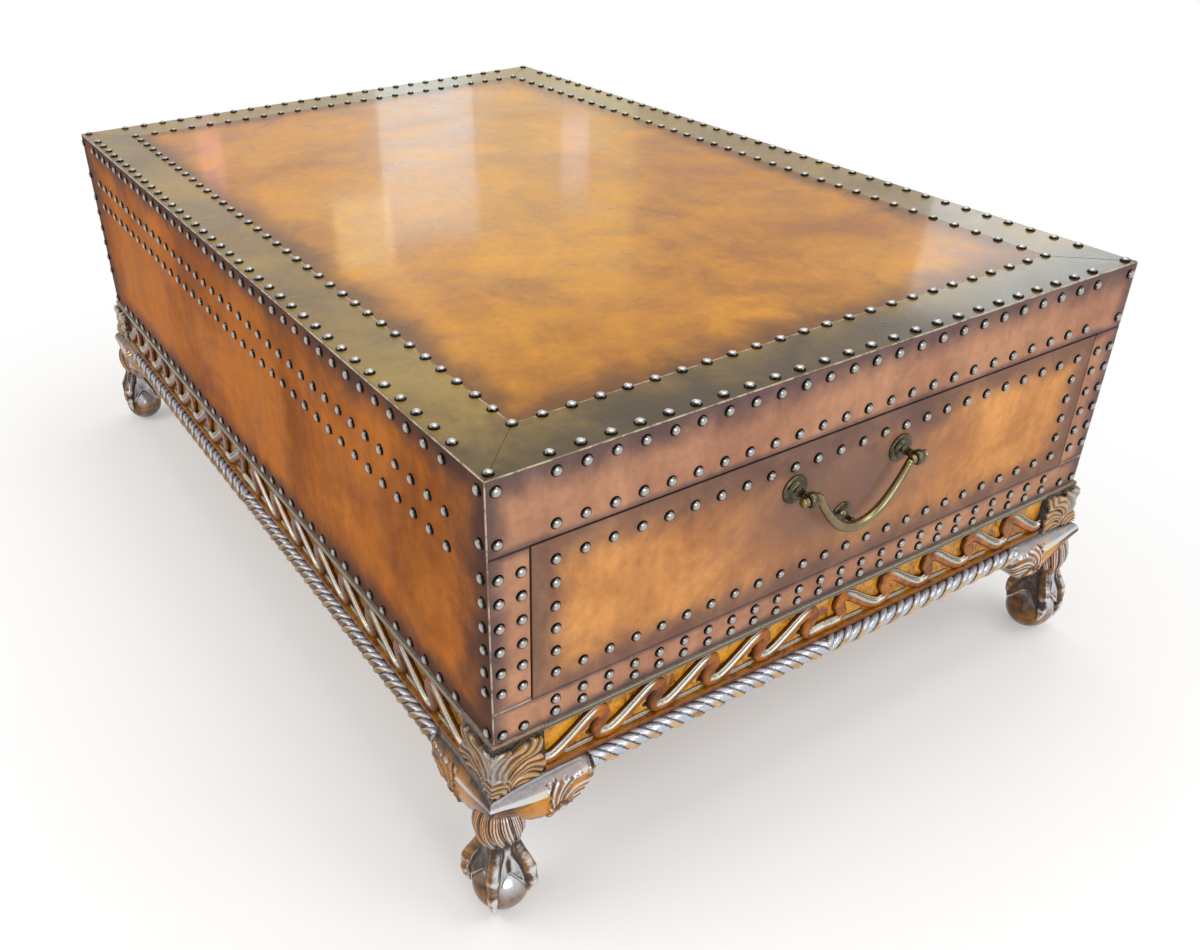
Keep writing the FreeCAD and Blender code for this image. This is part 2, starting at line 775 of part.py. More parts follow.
def build_drawer():
    """The drawer's box: sides between front and back, bottom held in grooves."""
    bottom_low = side_low + d.groove_up
    bottom_high = bottom_low + d.drawer_bottom_thick
    inside_y = drawer_y - d.drawer_side_thick
    inside_back = drawer_back + d.drawer_side_thick
    bottom_planes = (
        (inside_back - d.groove_depth, front_back + d.groove_depth),
        (-inside_y - d.groove_depth, inside_y + d.groove_depth),
        (bottom_low, bottom_high),
    )
    groove = slab("bottom_space", *bottom_planes)

    board = new_body("drawer_front_board")
    corners = [
        (-drawer_y, drawer_low),
        (drawer_y, drawer_low),
        (drawer_y, drawer_high),
        (-drawer_y, drawer_high),
    ]
    pad(board, outline(board, "YZ_Plane", corners), d.drawer_front_thick)
    for y in (-d.post_spacing / 2, d.post_spacing / 2):
        hole = ring(board, "YZ_Plane", y, handle_up, d.shank_radius + d.shank_gap)
        pocket(board, hole, d.drawer_front_thick, reverse=True)
    pin_hole = ring(
        board,
        "YZ_Plane",
        0,
        strike_up,
        d.screw_radius / 2 + d.thread_gap,
        offset=d.drawer_front_thick - d.strike_shank,
    )
    pocket(board, pin_hole, d.strike_shank, reverse=True)
    move(board, front_back, 0, 0)
    keep(cut("drawer_front", board, groove))

    skin = new_body("drawer_leather")
    pad(skin, outline(skin, "YZ_Plane", corners), d.leather_thick)
    for y in (-d.post_spacing / 2, d.post_spacing / 2):
        hole = ring(skin, "YZ_Plane", y, handle_up, d.shank_radius + d.shank_gap)
        pocket(skin, hole, d.leather_thick, reverse=True)
    hole = ring(skin, "YZ_Plane", 0, strike_up, d.screw_radius / 2 + d.thread_gap)
    pocket(skin, hole, d.leather_thick, reverse=True)
    keep(move(skin, wood_x, 0, 0))

    heights = (side_low, side_high)
    for side, mirror in (("left", -1), ("right", 1)):
        across = sorted_pair(inside_y * mirror, drawer_y * mirror)
        blank = slab(f"side_blank_{side}", (drawer_back, front_back), across, heights)
        keep(cut(f"drawer_side_{side}", blank, groove))
    back = slab("back_blank", (drawer_back, inside_back), (-inside_y, inside_y), heights)
    keep(cut("drawer_back", back, groove))
    keep(slab("drawer_bottom", *bottom_planes))


# Upright parts of the rosette's rim and step as shares of its thickness, and the shank's end past the board
# as a share of the nut's
RIM_SHARE = 0.5
STEP_SHARE = 0.8
SHANK_END_SHARE = 1.5


def build_posts():
    """Stepped rosettes with a stem, an eye for the bail and a shank to the nut."""
    posts = []
    for side, mirror in (("left", -1), ("right", 1)):
        body = new_body(f"post_{side}")
        shank_back = -(d.leather_thick + d.drawer_front_thick + d.nut_thick * SHANK_END_SHARE)
        step_face = d.rosette_thick + d.rosette_rise
        profile = [
            (shank_back, 0),
            (shank_back, d.shank_radius),
            (0, d.shank_radius),
            (0, d.rosette_radius),
            (d.rosette_thick * RIM_SHARE, d.rosette_radius),
            (d.rosette_thick, d.rosette_step),
            (step_face * STEP_SHARE, d.rosette_step),
            (step_face, d.stem_radius),
            (d.handle_out, d.stem_radius),
            (d.handle_out, 0),
        ]
        turn(body, outline(body, "XZ_Plane", profile), "H_Axis")
        eye = ring(body, "XZ_Plane", d.handle_out, 0, d.eye_radius)
        pad(body, eye, d.eye_width, symmetric=True)
        bore = ring(body, "XZ_Plane", d.handle_out, 0, d.pin_radius + d.pin_gap)
        pocket(body, bore, d.eye_width * 2, symmetric=True)
        posts.append(move(body, half_length, d.post_spacing / 2 * mirror, handle_up))
    keep(group("handle_posts", posts))
    nuts = []
    for side, mirror in (("left", -1), ("right", 1)):
        blank = doc.addObject("Part::Prism", f"nut_blank_{side}")
        blank.Polygon = 6
        bind(blank, "Circumradius", d.nut_radius)
        bind(blank, "Height", d.nut_thick)
        y = d.post_spacing / 2 * mirror
        blank.Placement = FreeCAD.Placement(Vector(0, 0, 0), FreeCAD.Rotation(Z_AXIS, Vector(1, 0, 0)))
        for letter, size in zip("xyz", (front_back - d.nut_thick, y, handle_up)):
            bind(blank, f"Placement.Base.{letter}", size)
        bore = rod(
            f"nut_bore_{side}",
            d.shank_radius + d.thread_gap,
            d.nut_thick,
            front_back - d.nut_thick,
            y,
            handle_up,
            Vector(1, 0, 0),
        )
        nuts.append(cut(f"nut_{side}", blank, bore))
    keep(group("post_nuts", nuts))


# Strike plate's rings above its back: radius as a share of the plate's, height as a share of its thickness
STRIKE_SHARES = ((1.00, 0.00), (0.96, 0.60), (0.72, 1.10), (0.40, 1.50))
STUD_NECK_SHARE = 0.75
STRIKE_SIDES = 24


def build_strike():
    """Round plate with a stud that the hanging bail rests against."""
    tip = d.handle_out - d.bow_mid_radius - d.running_gap
    rings = [(d.strike_radius * across, d.strike_thick * up) for across, up in STRIKE_SHARES]
    rings += [
        (d.strike_stud * STUD_NECK_SHARE, tip - 2 * d.strike_stud),
        (d.strike_stud * STUD_NECK_SHARE, tip - d.strike_stud),
        (d.strike_stud, tip - d.strike_stud * STUD_NECK_SHARE),
        (d.strike_stud * STUD_NECK_SHARE, tip),
    ]
    disc = flat_sided("strike_disc", rings, STRIKE_SIDES)
    pin = rod("strike_pin", d.screw_radius / 2, d.strike_shank, 0, 0, -d.strike_shank)
    plate = move(fuse("strike_plate", [disc, pin]), half_length, 0, strike_up)
    plate.Placement.Rotation = FreeCAD.Rotation(Z_AXIS, Vector(1, 0, 0))
    keep(plate)


BOW_STEPS = 10
BOW_SIDES = 12
# Rounding of the bail's ring and of its knob's end, as shares of the ring's and the knob's radius
RING_ROUND_SHARE = 0.2
KNOB_ROUND_SHARE = 0.6
KNOB_END_SHARE = 0.8


def build_bail():
    """A bow that falls as a parabola and thickens to its middle, with a ring, pin and knob at each end."""
    wires = []
    for step in range(BOW_STEPS + 1):
        share = 2 * step / BOW_STEPS - 1
        y = d.bow_half.value * share
        z = -d.bow_drop.value * (1 - share * share)
        slope = 2 * d.bow_drop.value * share / d.bow_half.value
        fullness = math.cos(share * math.pi / 2)
        radius = d.bow_end_radius.value + (d.bow_mid_radius - d.bow_end_radius).value * fullness
        across = Vector(0, -slope, 1).normalize()
        points = []
        for side in range(BOW_SIDES + 1):
            angle = 2 * math.pi * side / BOW_SIDES
            points.append(Vector(math.cos(angle) * radius, y, z) + across * (math.sin(angle) * radius))
        wires.append(Part.makePolygon(points))
    bow = doc.addObject("Part::Feature", "bow")
    bow.Shape = Part.makeLoft(wires, True, True)

    end = new_body("bail_end")
    post = d.post_spacing / 2
    ring_far = post - d.eye_width / 2 - d.running_gap
    knob_near = post + d.eye_width / 2 + d.running_gap
    knob_far = knob_near + d.finial_length
    ring_near = ring_far - d.collar_ring
    profile = [
        (ring_near, 0),
        (ring_near, d.bow_end_radius),
        (ring_near + d.collar_ring * RING_ROUND_SHARE, d.collar_ring),
        (ring_far, d.collar_ring),
        (ring_far, d.pin_radius),
        (knob_near, d.pin_radius),
        (knob_near, d.finial_radius),
        (knob_far, d.finial_radius),
        (knob_far + d.finial_radius * KNOB_ROUND_SHARE, d.finial_radius * KNOB_ROUND_SHARE),
        (knob_far + d.finial_radius * KNOB_END_SHARE, 0),
    ]
    turn(end, outline(end, "YZ_Plane", profile), "H_Axis")
    other_end = doc.addObject("Part::Mirroring", "bail_other_end")
    other_end.Source = end
    other_end.Normal = Vector(0, 1, 0)
    bail = fuse("bail", [bow, end, other_end])
    keep(move(bail, half_length + d.handle_out, 0, handle_up))


build_carcass()
build_bay()
build_leather()
build_base_rails()
build_corner_blocks()
build_legs()
build_fastenings()
build_drawer()
build_posts()
build_strike()
build_bail()
doc.recompute()

failed = [item.Label for item in doc.Objects if {"Invalid", "Error"} & set(item.State)]
unsound = [piece.Label for piece in nodes if piece.Shape.isNull() or not piece.Shape.isValid()]
if failed or unsound:
    raise RuntimeError(f"failed: {failed}; unsound: {unsound}")

os.makedirs("parts", exist_ok=True)
for piece in nodes:
    piece.Shape.exportStep(f"parts/{piece.Label}.step")
print(len(nodes), "sub-parts written")
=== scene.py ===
import json
import math
import random

import bpy
import numpy as np
from mathutils import Matrix, Vector


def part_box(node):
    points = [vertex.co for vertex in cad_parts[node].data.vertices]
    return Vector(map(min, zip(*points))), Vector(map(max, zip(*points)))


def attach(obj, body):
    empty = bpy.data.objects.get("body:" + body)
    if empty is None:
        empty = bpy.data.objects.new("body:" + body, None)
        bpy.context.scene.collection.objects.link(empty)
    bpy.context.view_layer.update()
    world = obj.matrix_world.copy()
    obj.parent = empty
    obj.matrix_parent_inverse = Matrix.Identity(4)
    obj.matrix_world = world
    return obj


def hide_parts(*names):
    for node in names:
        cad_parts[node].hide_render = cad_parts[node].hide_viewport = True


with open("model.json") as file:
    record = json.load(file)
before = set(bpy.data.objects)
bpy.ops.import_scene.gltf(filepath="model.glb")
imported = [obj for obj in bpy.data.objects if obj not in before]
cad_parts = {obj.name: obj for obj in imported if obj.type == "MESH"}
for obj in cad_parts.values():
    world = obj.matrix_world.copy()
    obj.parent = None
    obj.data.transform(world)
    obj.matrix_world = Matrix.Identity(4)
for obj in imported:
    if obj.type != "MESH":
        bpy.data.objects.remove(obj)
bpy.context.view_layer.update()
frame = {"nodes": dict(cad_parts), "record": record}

nodes = frame["nodes"]
MM = 0.001

# Camera, from the photograph's corners
CAMERA_PLACE = (1.2307, -0.7542, 0.9302)
CAMERA_AZIMUTH = math.radians(59.1355)
CAMERA_ELEVATION = math.radians(32.5885)
CAMERA_ROLL = math.radians(-1.3707)
CAMERA_LENS = 33.54
CAMERA_SHIFT = (0.0766, 0.0193)

# Case, read from the frame
side_low, side_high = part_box("side_leather_right")
field_low, field_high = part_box("top_leather_field")
drawer_low, drawer_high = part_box("drawer_leather")
post_low, post_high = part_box("handle_posts")
HALF_LENGTH = side_high.x
HALF_WIDTH = side_high.y
CASE_LOW = side_low.z
TOP = field_high.z
BORDER = HALF_LENGTH - field_high.x
FACE = drawer_high.x

# Nails: sizes, and rows down from the top edge or in from a corner
NAIL_RADIUS = 5.6 * MM
NAIL_START = 65.5 * MM
NAIL_CORNER = 9.6 * MM
NAILS_ALONG = 37
NAILS_ACROSS = 24
TOP_INSETS = (9.3 * MM, 65.5 * MM)
SIDE_ROWS = (11.5 * MM, 61.5 * MM, 96.5 * MM, 264.5 * MM)
COLUMN_ROWS = [z * MM for z in (11.5, 61.2, 95.7, 119.8, 145.2, 170.1, 194.2, 217.3, 265.0)]
END_TOP_ROWS = (11.5 * MM, 61.0 * MM)
END_LOW_ROWS = (249.5 * MM, 264.0 * MM)
STILE_COLUMN = 31.5 * MM
DRAWER_ROWS = (96.2 * MM, 218.2 * MM)
DRAWER_COLUMN_NAILS = 6

# Carved base, in millimetres
FRIEZE_LOW = 164.5
FRIEZE_HIGH = 209.5
FRIEZE_GROUND = -1.5
RAIL_SKIN = 8.0 * MM
FILLET_HIGH = 6.0
FILLET_OUT = 3.0
CORNER_WIDTH = 52.0
ROPE_RADIUS = 9.5
ROPE_OUT = 8.0
ROPE_UP = 150.5
ROPE_LEAD = 26.6
ROPE_START = 99.0
FOOT_INSET = 6.0
BALL_RADIUS = 28.5
BALL_UP = 27.9


def linear(red, green, blue):
    """An everyday colour, each part 0 to 255, in linear light."""
    parts = []
    for part in (red, green, blue):
        part = part / 255
        parts.append(part / 12.92 if part <= 0.04045 else ((part + 0.055) / 1.055) ** 2.4)
    return (*parts, 1.0)


class Nodes:
    """Adds shader nodes to one new material and joins them."""

    def __init__(self, name):
        self.material = bpy.data.materials.new(name)
        self.material.use_nodes = True
        self.tree = self.material.node_tree
        self.tree.nodes.clear()

    def add(self, kind, inputs, **settings):
        node = self.tree.nodes.new(kind)
        for key, value in settings.items():
            setattr(node, key, value)
        for key, value in inputs.items():
            if isinstance(value, bpy.types.NodeSocket):
                self.tree.links.new(value, node.inputs[key])
            else:
                node.inputs[key].default_value = value
        return node

    def place(self):
        return self.add("ShaderNodeTexCoord", {}).outputs["Object"]

    def split(self, vector):
        return self.add("ShaderNodeSeparateXYZ", {0: vector}).outputs

    def aside(self):
        """One where a face looks toward a long side, nought where it looks to an end, up or down."""
        normal = self.add("ShaderNodeTexCoord", {}).outputs["Normal"]
        return self.ease(self.math("ABSOLUTE", self.split(normal)[1]), 0.35, 0.85)

    def stretch(self, vector, scales):
        node = self.add("ShaderNodeMapping", {"Vector": vector, "Scale": scales})
        return node.outputs[0]

    def math(self, operation, first, second=0.0, clamp=False):
        node = self.add("ShaderNodeMath", {0: first, 1: second}, operation=operation, use_clamp=clamp)
        return node.outputs[0]

    def mix(self, share, first, second, blend="MIX"):
        inputs = {0: share, 6: first, 7: second}
        node = self.add("ShaderNodeMix", {}, data_type="RGBA", blend_type=blend)
        for key, value in inputs.items():
            if isinstance(value, bpy.types.NodeSocket):
                self.tree.links.new(value, node.inputs[key])
            else:
                node.inputs[key].default_value = value
        return node.outputs[2]

    def noise(self, vector, scale, detail=3.0, roughness=0.5, distortion=0.0):
        inputs = {
            "Vector": vector,
            "Scale": scale,
            "Detail": detail,
            "Roughness": roughness,
            "Distortion": distortion,
        }
        return self.add("ShaderNodeTexNoise", inputs).outputs["Fac"]

    def ease(self, value, low, high, start=0.0, end=1.0):
        inputs = {"Value": value, "From Min": low, "From Max": high, "To Min": start, "To Max": end}
        node = self.add("ShaderNodeMapRange", inputs, interpolation_type="SMOOTHSTEP")
        return node.outputs[0]

    def bump(self, height, distance, strength=1.0, normal=None):
        inputs = {"Height": height, "Distance": distance, "Strength": strength}
        if normal is not None:
            inputs["Normal"] = normal
        return self.add("ShaderNodeBump", inputs).outputs[0]

    def surface(self, inputs):
        shader = self.add("ShaderNodeBsdfPrincipled", inputs)
        self.add("ShaderNodeOutputMaterial", {"Surface": shader.outputs[0]})
        return self.material


def leather(name, lines, light, dark, burnt, brush, roughness, coat, gloss, depth=0.93, streaks=0.06, hand=None):
    """Leather polished by hand-rubbing, with brushed streaks, burnished dark along lines.

    Each line has its axis, position and width, and 1 for a pale edge that is a painted highlight and partly wear, -1
    for a dark one or 0.
    """
    make = Nodes(name)
    place = make.place()
    axes = make.split(place)
    cloud = make.noise(place, 4.5, 4.0, 0.6, 0.6)
    blotch = make.noise(place, 15.0, 5.0, 0.65, 0.4)
    fine = make.noise(place, 90.0, 4.0, 0.7)
    grain = make.noise(place, 420.0, 3.0, 0.6)
    streak = make.noise(make.stretch(place, brush), 1.0, 4.0, 0.6, 0.3)
    tone = make.math("ADD", make.math("MULTIPLY", cloud, 0.6), make.math("MULTIPLY", blotch, 0.4))
    colour = make.mix(make.ease(tone, 0.34, 0.64), dark, light)
    speck = make.math("MULTIPLY", make.ease(fine, 0.25, 0.75, 0.90, 1.09), make.ease(streak, 0.3, 0.7, 1 - streaks, 1 + streaks))
    grey = make.add("ShaderNodeCombineColor", {0: speck, 1: speck, 2: speck}).outputs[0]
    colour = make.mix(1.0, colour, grey, "MULTIPLY")
    paler = tuple(min(1.0, part * 1.6) for part in burnt[:3]) + (1.0,)
    if hand is not None:
        y, z, radius = hand
        across = make.math("SUBTRACT", axes[1], y)
        down = make.math("MULTIPLY", make.math("SUBTRACT", axes[2], z), 1.7)
        away = make.math("SQRT", make.math("ADD", make.math("POWER", across, 2.0), make.math("POWER", down, 2.0)))
        touched = make.ease(make.math("ADD", away, make.math("MULTIPLY", blotch, 0.05)), radius * 0.2, radius, 0.80, 0.0)
        colour = make.mix(touched, colour, paler)
    wander = make.math("SUBTRACT", blotch, 0.5)
    burn = 0.0
    pale = 0.0
    black = 0.0
    for axis, position, width, rub_and_painted_sheen in lines:
        away = make.math("ABSOLUTE", make.math("SUBTRACT", axes[axis], position))
        shade = make.ease(make.math("ADD", away, make.math("MULTIPLY", wander, width)), width * 0.05, width, 1.0, 0.0)
        burn = make.math("MAXIMUM", burn, shade)
        edge = make.ease(away, 0.0003, 0.0016, 1.0, 0.0)
        # A pale edge is a painted highlight line, partly wear; a dark edge is a dark joint.
        if rub_and_painted_sheen > 0:
            pale = make.math("MAXIMUM", pale, edge)
        elif rub_and_painted_sheen < 0:
            black = make.math("MAXIMUM", black, edge)
    patch = make.mix(make.ease(blotch, 0.35, 0.7), burnt, paler)
    colour = make.mix(make.math("MULTIPLY", burn, depth), colour, patch)
    # Painted highlight: the pale edge lines, broken into dashes, in pale cream.
    broken = make.ease(make.noise(place, 55.0, 4.0, 0.75), 0.40, 0.58, 0.25, 0.85)
    colour = make.mix(make.math("MULTIPLY", pale, broken), colour, linear(200, 184, 160))
    colour = make.mix(make.math("MULTIPLY", black, 0.85), colour, linear(38, 22, 18))
    wave = make.bump(make.noise(place, 22.0, 3.0, 0.5), 0.0011, 0.5)
    drawn = make.bump(streak, 0.0003, 0.2, wave)
    normal = make.bump(grain, 0.00016, 0.6, drawn)
    shine = make.math("ADD", make.ease(blotch, 0.3, 0.7, roughness * 0.8, roughness * 1.2), make.math("MULTIPLY", streak, 0.08))
    return make.surface(
        {
            "Base Color": colour,
            "Roughness": shine,
            "Specular IOR Level": gloss,
            "Coat Weight": coat,
            "Coat Roughness": 0.08,
            "Normal": normal,
        }
    )


def finish_node(name, material, bevel=0.0, steps=2):
    """Gives a frame node its finish and softens its edges."""
    piece = nodes[name]
    piece.data.materials.clear()
    piece.data.materials.append(material)
    if bevel:
        weld = piece.modifiers.new("weld", "WELD")
        weld.merge_threshold = 0.00001
        joined_flats = piece.modifiers.new("joined_flats", "DECIMATE")
        joined_flats.decimate_type = "DISSOLVE"
        joined_flats.angle_limit = math.radians(1)
        round_over = piece.modifiers.new("round_over", "BEVEL")
        round_over.width = bevel
        round_over.segments = steps
        round_over.limit_method = "ANGLE"
        round_over.angle_limit = math.radians(30)
        round_over.harden_normals = False


def new_piece(name, points, faces, material, body="root", smooth=True, paint=None):
    """A mesh piece in the frame, riding on a body; points in metres."""
    mesh = bpy.data.meshes.new(name)
    mesh.from_pydata([tuple(point) for point in points], [], faces)
    # Paint holds silver, gold and dark shares; the silver carries painted highlights and reflections as well as wear,
    # the dark painted shade as well as dirt.
    if paint is not None:
        layer = mesh.color_attributes.new("paint", "FLOAT_COLOR", "POINT")
        colours = np.ones((len(points), 4), np.float32)
        colours[:, :3] = paint
        layer.data.foreach_set("color", colours.ravel())
    mesh.validate()
    mesh.update()
    if smooth:
        mesh.polygons.foreach_set("use_smooth", [True] * len(mesh.polygons))
    mesh.materials.append(material)
    piece = bpy.data.objects.new(name, mesh)
    bpy.context.scene.collection.objects.link(piece)
    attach(piece, body)
    return piece


def lattice_faces(rows, columns, start=0, wrap=False):
    """Four-sided faces of a grid of points, row by row; wrap closes each row."""
    faces = []
    last = columns if wrap else columns - 1
    for row in range(rows - 1):
        for column in range(last):
            following = (column + 1) % columns
            low = start + row * columns
            high = low + columns
            faces.append((low + column, low + following, high + following, high + column))
    return faces


# Nailheads: a dome of radius one, each ring's radius and height and how bright it is painted: a painted highlight
# toward the crown and painted shade at the rim, partly wear
NAIL_PROFILE = (
    (0.97, -0.12, 0.0),
    (1.00, 0.03, 0.0),
    (0.94, 0.17, 0.0),
    (0.84, 0.31, 0.2),
    (0.68, 0.45, 0.5),
    (0.47, 0.57, 0.85),
    (0.24, 0.64, 1.0),
)
NAIL_SIDES = 14


def nail_dome():
    """Points of the dome about +Z, its faces, and the painted brightness of each point: painted highlight at the
    crown, painted shade at the rim, partly wear.
    """
    points = []
    wear = []
    for radius, height, bright in NAIL_PROFILE:
        for side in range(NAIL_SIDES):
            angle = 2 * math.pi * side / NAIL_SIDES
            points.append((radius * math.cos(angle), radius * math.sin(angle), height))
            wear.append((bright, bright, bright))
    points.append((0, 0, 0.66))
    wear.append((1.0, 1.0, 1.0))
    faces = lattice_faces(len(NAIL_PROFILE), NAIL_SIDES, wrap=True)
    ring = (len(NAIL_PROFILE) - 1) * NAIL_SIDES
    faces += [(ring + side, ring + (side + 1) % NAIL_SIDES, len(points) - 1) for side in range(NAIL_SIDES)]
    return np.array(points), faces, np.array(wear)


def grid_steps(length, count):
    """Places of a row's nails from one corner to the other."""
    pitch = (length - 2 * NAIL_START) / (count - 1)
    return [NAIL_START + pitch * number for number in range(count)]


def drive_nails(name, places, origin, along, down, out, body="root"):
    """Nails at places (along, down) on a face that has its own three directions."""
    dome, dome_faces, dome_light_paint = nail_dome()
    origin, along, down, out = (np.array(item, float) for item in (origin, along, down, out))
    chance = random.Random(name)
    points = []
    faces = []
    for u, v in places:
        lean = (chance.uniform(-0.05, 0.05), chance.uniform(-0.05, 0.05))
        size = NAIL_RADIUS * chance.uniform(0.97, 1.03)
        slip = (chance.uniform(-0.35, 0.35) * MM, chance.uniform(-0.35, 0.35) * MM)
        centre = origin + along * (u + slip[0]) + down * (v + slip[1])
        rise = dome[:, 2] + dome[:, 0] * lean[0] + dome[:, 1] * lean[1]
        start = len(points) * len(dome)
        points.append(
            centre
            + size * (dome[:, :1] * along + dome[:, 1:2] * np.cross(out, along) + rise[:, None] * out)
        )
        faces += [tuple(start + index for index in face) for face in dome_faces]
    wear = np.tile(dome_light_paint, (len(places), 1))
    return new_piece(name, np.concatenate(points), faces, materials["nail"], body, paint=wear)


def mirrored(values, length):
    return list(values) + [length - value for value in values]


def make_nails():
    length = 2 * HALF_LENGTH
    width = 2 * HALF_WIDTH
    along = grid_steps(length, NAILS_ALONG)
    across = grid_steps(width, NAILS_ACROSS)
    outer, inner = TOP_INSETS

    top = [(u, v) for u in along for v in mirrored((outer, inner), width)]
    top += [(u, v) for v in across for u in mirrored((outer,), length)]
    top += [(u, v) for v in across[1:-1] for u in mirrored((inner,), length)]
    top += [(u, v) for u in mirrored((outer,), length) for v in mirrored((outer,), width)]
    drive_nails("nails_top", top, (-HALF_LENGTH, -HALF_WIDTH, TOP), (1, 0, 0), (0, 1, 0), (0, 0, 1))

    side = [(u, v) for u in along for v in SIDE_ROWS]
    side += [(u, v) for u in mirrored((NAIL_CORNER,), length) for v in COLUMN_ROWS]
    rear = [(u, v) for u in across for v in SIDE_ROWS]
    rear += [(u, v) for u in mirrored((NAIL_CORNER,), width) for v in COLUMN_ROWS]
    drive_nails("nails_left", side, (-HALF_LENGTH, -HALF_WIDTH, TOP), (1, 0, 0), (0, 0, -1), (0, -1, 0))
    drive_nails("nails_right", side, (HALF_LENGTH, HALF_WIDTH, TOP), (-1, 0, 0), (0, 0, -1), (0, 1, 0))
    drive_nails("nails_rear", rear, (-HALF_LENGTH, HALF_WIDTH, TOP), (0, -1, 0), (0, 0, -1), (-1, 0, 0))

    front = [(u, v) for u in across for v in END_TOP_ROWS + END_LOW_ROWS]
    front += [(u, v) for u in mirrored((NAIL_CORNER,), width) for v in COLUMN_ROWS]
    front += [(u, v) for u in mirrored((STILE_COLUMN,), width) for v in COLUMN_ROWS[2:]]
    drive_nails("nails_front", front, (HALF_LENGTH, -HALF_WIDTH, TOP), (0, 1, 0), (0, 0, -1), (1, 0, 0))

    high, low = DRAWER_ROWS
    step = (low - high) / (DRAWER_COLUMN_NAILS - 1)
    drawer = [(u, v) for u in across for v in DRAWER_ROWS]
    for number in range(1, DRAWER_COLUMN_NAILS - 1):
        drawer += [(u, high + step * number) for u in (across[0], across[-1])]
    drive_nails(
        "nails_drawer", drawer, (FACE, -HALF_WIDTH, TOP), (0, 1, 0), (0, 0, -1), (1, 0, 0), "drawer"
    )


# Carved base: each side is drawn in its own frame, along it, out of it and up
BASE_SIDES = {
    "right": (0, HALF_WIDTH, (1, 0), (0, 1), HALF_LENGTH),
    "left": (0, -HALF_WIDTH, (-1, 0), (0, -1), HALF_LENGTH),
    "front": (HALF_LENGTH, 0, (0, -1), (1, 0), HALF_WIDTH),
    "rear": (-HALF_LENGTH, 0, (0, 1), (-1, 0), HALF_WIDTH),
}


def on_side(side, points):
    """Millimetres along a side, out of its leather and up, put into the frame in metres."""
    x, y, along, out, _ = BASE_SIDES[side]
    points = np.asarray(points, float) * MM
    placed = np.empty_like(points)
    placed[:, 0] = x + points[:, 0] * along[0] + points[:, 1] * out[0]
    placed[:, 1] = y + points[:, 0] * along[1] + points[:, 1] * out[1]
    placed[:, 2] = points[:, 2]
    return placed


def smooth_path(knots, per_knot):
    """A smooth line through knots, with several points between each two."""
    knots = np.array(knots, float)
    padded = np.concatenate([[2 * knots[0] - knots[1]], knots, [2 * knots[-1] - knots[-2]]])
    line = []
    for number in range(len(knots) - 1):
        a, b, c, e = padded[number : number + 4]
        for step in range(per_knot):
            t = step / per_knot
            line.append(
                0.5 * (2 * b + (c - a) * t + (2 * a - 5 * b + 4 * c - e) * t**2 + (3 * b - a - 3 * c + e) * t**3)
            )
    line.append(knots[-1])
    return np.array(line)


# One wave of the scroll from the foot of its hook to the next: along and up as shares of the period and of
# the band, the groove's depth and width, and the ribbon's half width in millimetres
WAVE = (
    (0.000, 0.18, 1.0, 0.62, 7.2),
    (0.110, 0.17, 1.0, 0.70, 7.2),
    (0.270, 0.28, 1.0, 0.70, 7.2),
    (0.500, 0.51, 1.0, 0.60, 7.0),
    (0.720, 0.74, 1.0, 0.40, 7.0),
    (0.860, 0.83, 0.4, 0.22, 7.4),
    (0.955, 0.79, 0.0, 0.18, 8.0),
    (0.975, 0.64, 0.0, 0.18, 8.2),
    (0.920, 0.48, 0.0, 0.25, 7.6),
    (0.895, 0.33, 0.2, 0.50, 7.2),
    (0.925, 0.22, 0.9, 0.72, 7.2),
)
RIBBON_RISE = 6.0
# Ribbon's section: across as a share of its half width, height with no groove and with one, and how silver it is
# painted, partly silvering and partly a painted highlight in the groove, cream on the lip
RIBBON_LIP = ((-1.00, 0.00, 0.00, 0.0), (-1.02, 0.60, 0.70, 0.2), (-0.95, 0.80, 0.92, 1.7))
RIBBON_GROOVE = ((-0.84, 0.88, 0.80, 0.8), (-0.60, 0.94, 0.38, 0.45), (-0.30, 0.98, 0.34, 0.6), (-0.08, 1.00, 0.72, 0.8))
RIBBON_BODY = (
    (0.03, 1.00, 0.98, 1.6),
    (0.13, 1.00, 1.04, 0.0),
    (0.30, 1.00, 1.04, 0.0),
    (0.52, 0.96, 1.02, 0.0),
    (0.80, 0.82, 0.86, 0.0),
    (0.98, 0.52, 0.54, 0.0),
    (1.00, 0.00, 0.00, 0.0),
)


def ribbon_section(width):
    """The ribbon's section with its groove narrowed towards the lip."""
    section = list(RIBBON_LIP)
    section += [(-0.93 + (share + 0.93) * width, *rest) for share, *rest in RIBBON_GROOVE]
    first, *others = RIBBON_BODY
    section.append((-0.93 + (first[0] + 0.93) * width, *first[1:]))
    return section + others


def ribbon_strip(line, flip):
    """A grooved ribbon swept along a line of places, groove depths, groove widths and half widths."""
    flat = line[:, :2]
    ahead = np.gradient(flat, axis=0)
    ahead /= np.linalg.norm(ahead, axis=1)[:, None]
    right = np.stack([ahead[:, 1], -ahead[:, 0]], 1)
    points = []
    paint = []
    for place, across, (groove, width, half) in zip(flat, right, line[:, 2:]):
        section = ribbon_section(width)
        for share, plain, grooved, silver in section:
            spot = place + across * share * half
            rise = RIBBON_RISE * (plain + (grooved - plain) * groove)
            points.append((spot[0] * flip, FRIEZE_GROUND + rise - 0.3, spot[1]))
            # Paint: silver in the groove as painted highlight, gold lighter on the higher parts as painted light, dark
            # along the low edges as painted shade where the ribbon meets the ground.
            paint.append((silver * groove, 0.12 + 0.42 * rise / RIBBON_RISE, 0.95 if rise < 1.5 else 0.0))
    faces = lattice_faces(len(line), len(RIBBON_LIP) + len(RIBBON_GROOVE) + len(RIBBON_BODY))
    if flip > 0:
        faces = [face[::-1] for face in faces]
    return points, faces, paint


BAR_SECTION = ((-2.5, 0.0), (-2.3, 1.9), (-1.3, 2.5), (-0.4, 1.7), (0.5, 1.7), (1.4, 2.5), (2.3, 1.9), (2.5, 0.0))


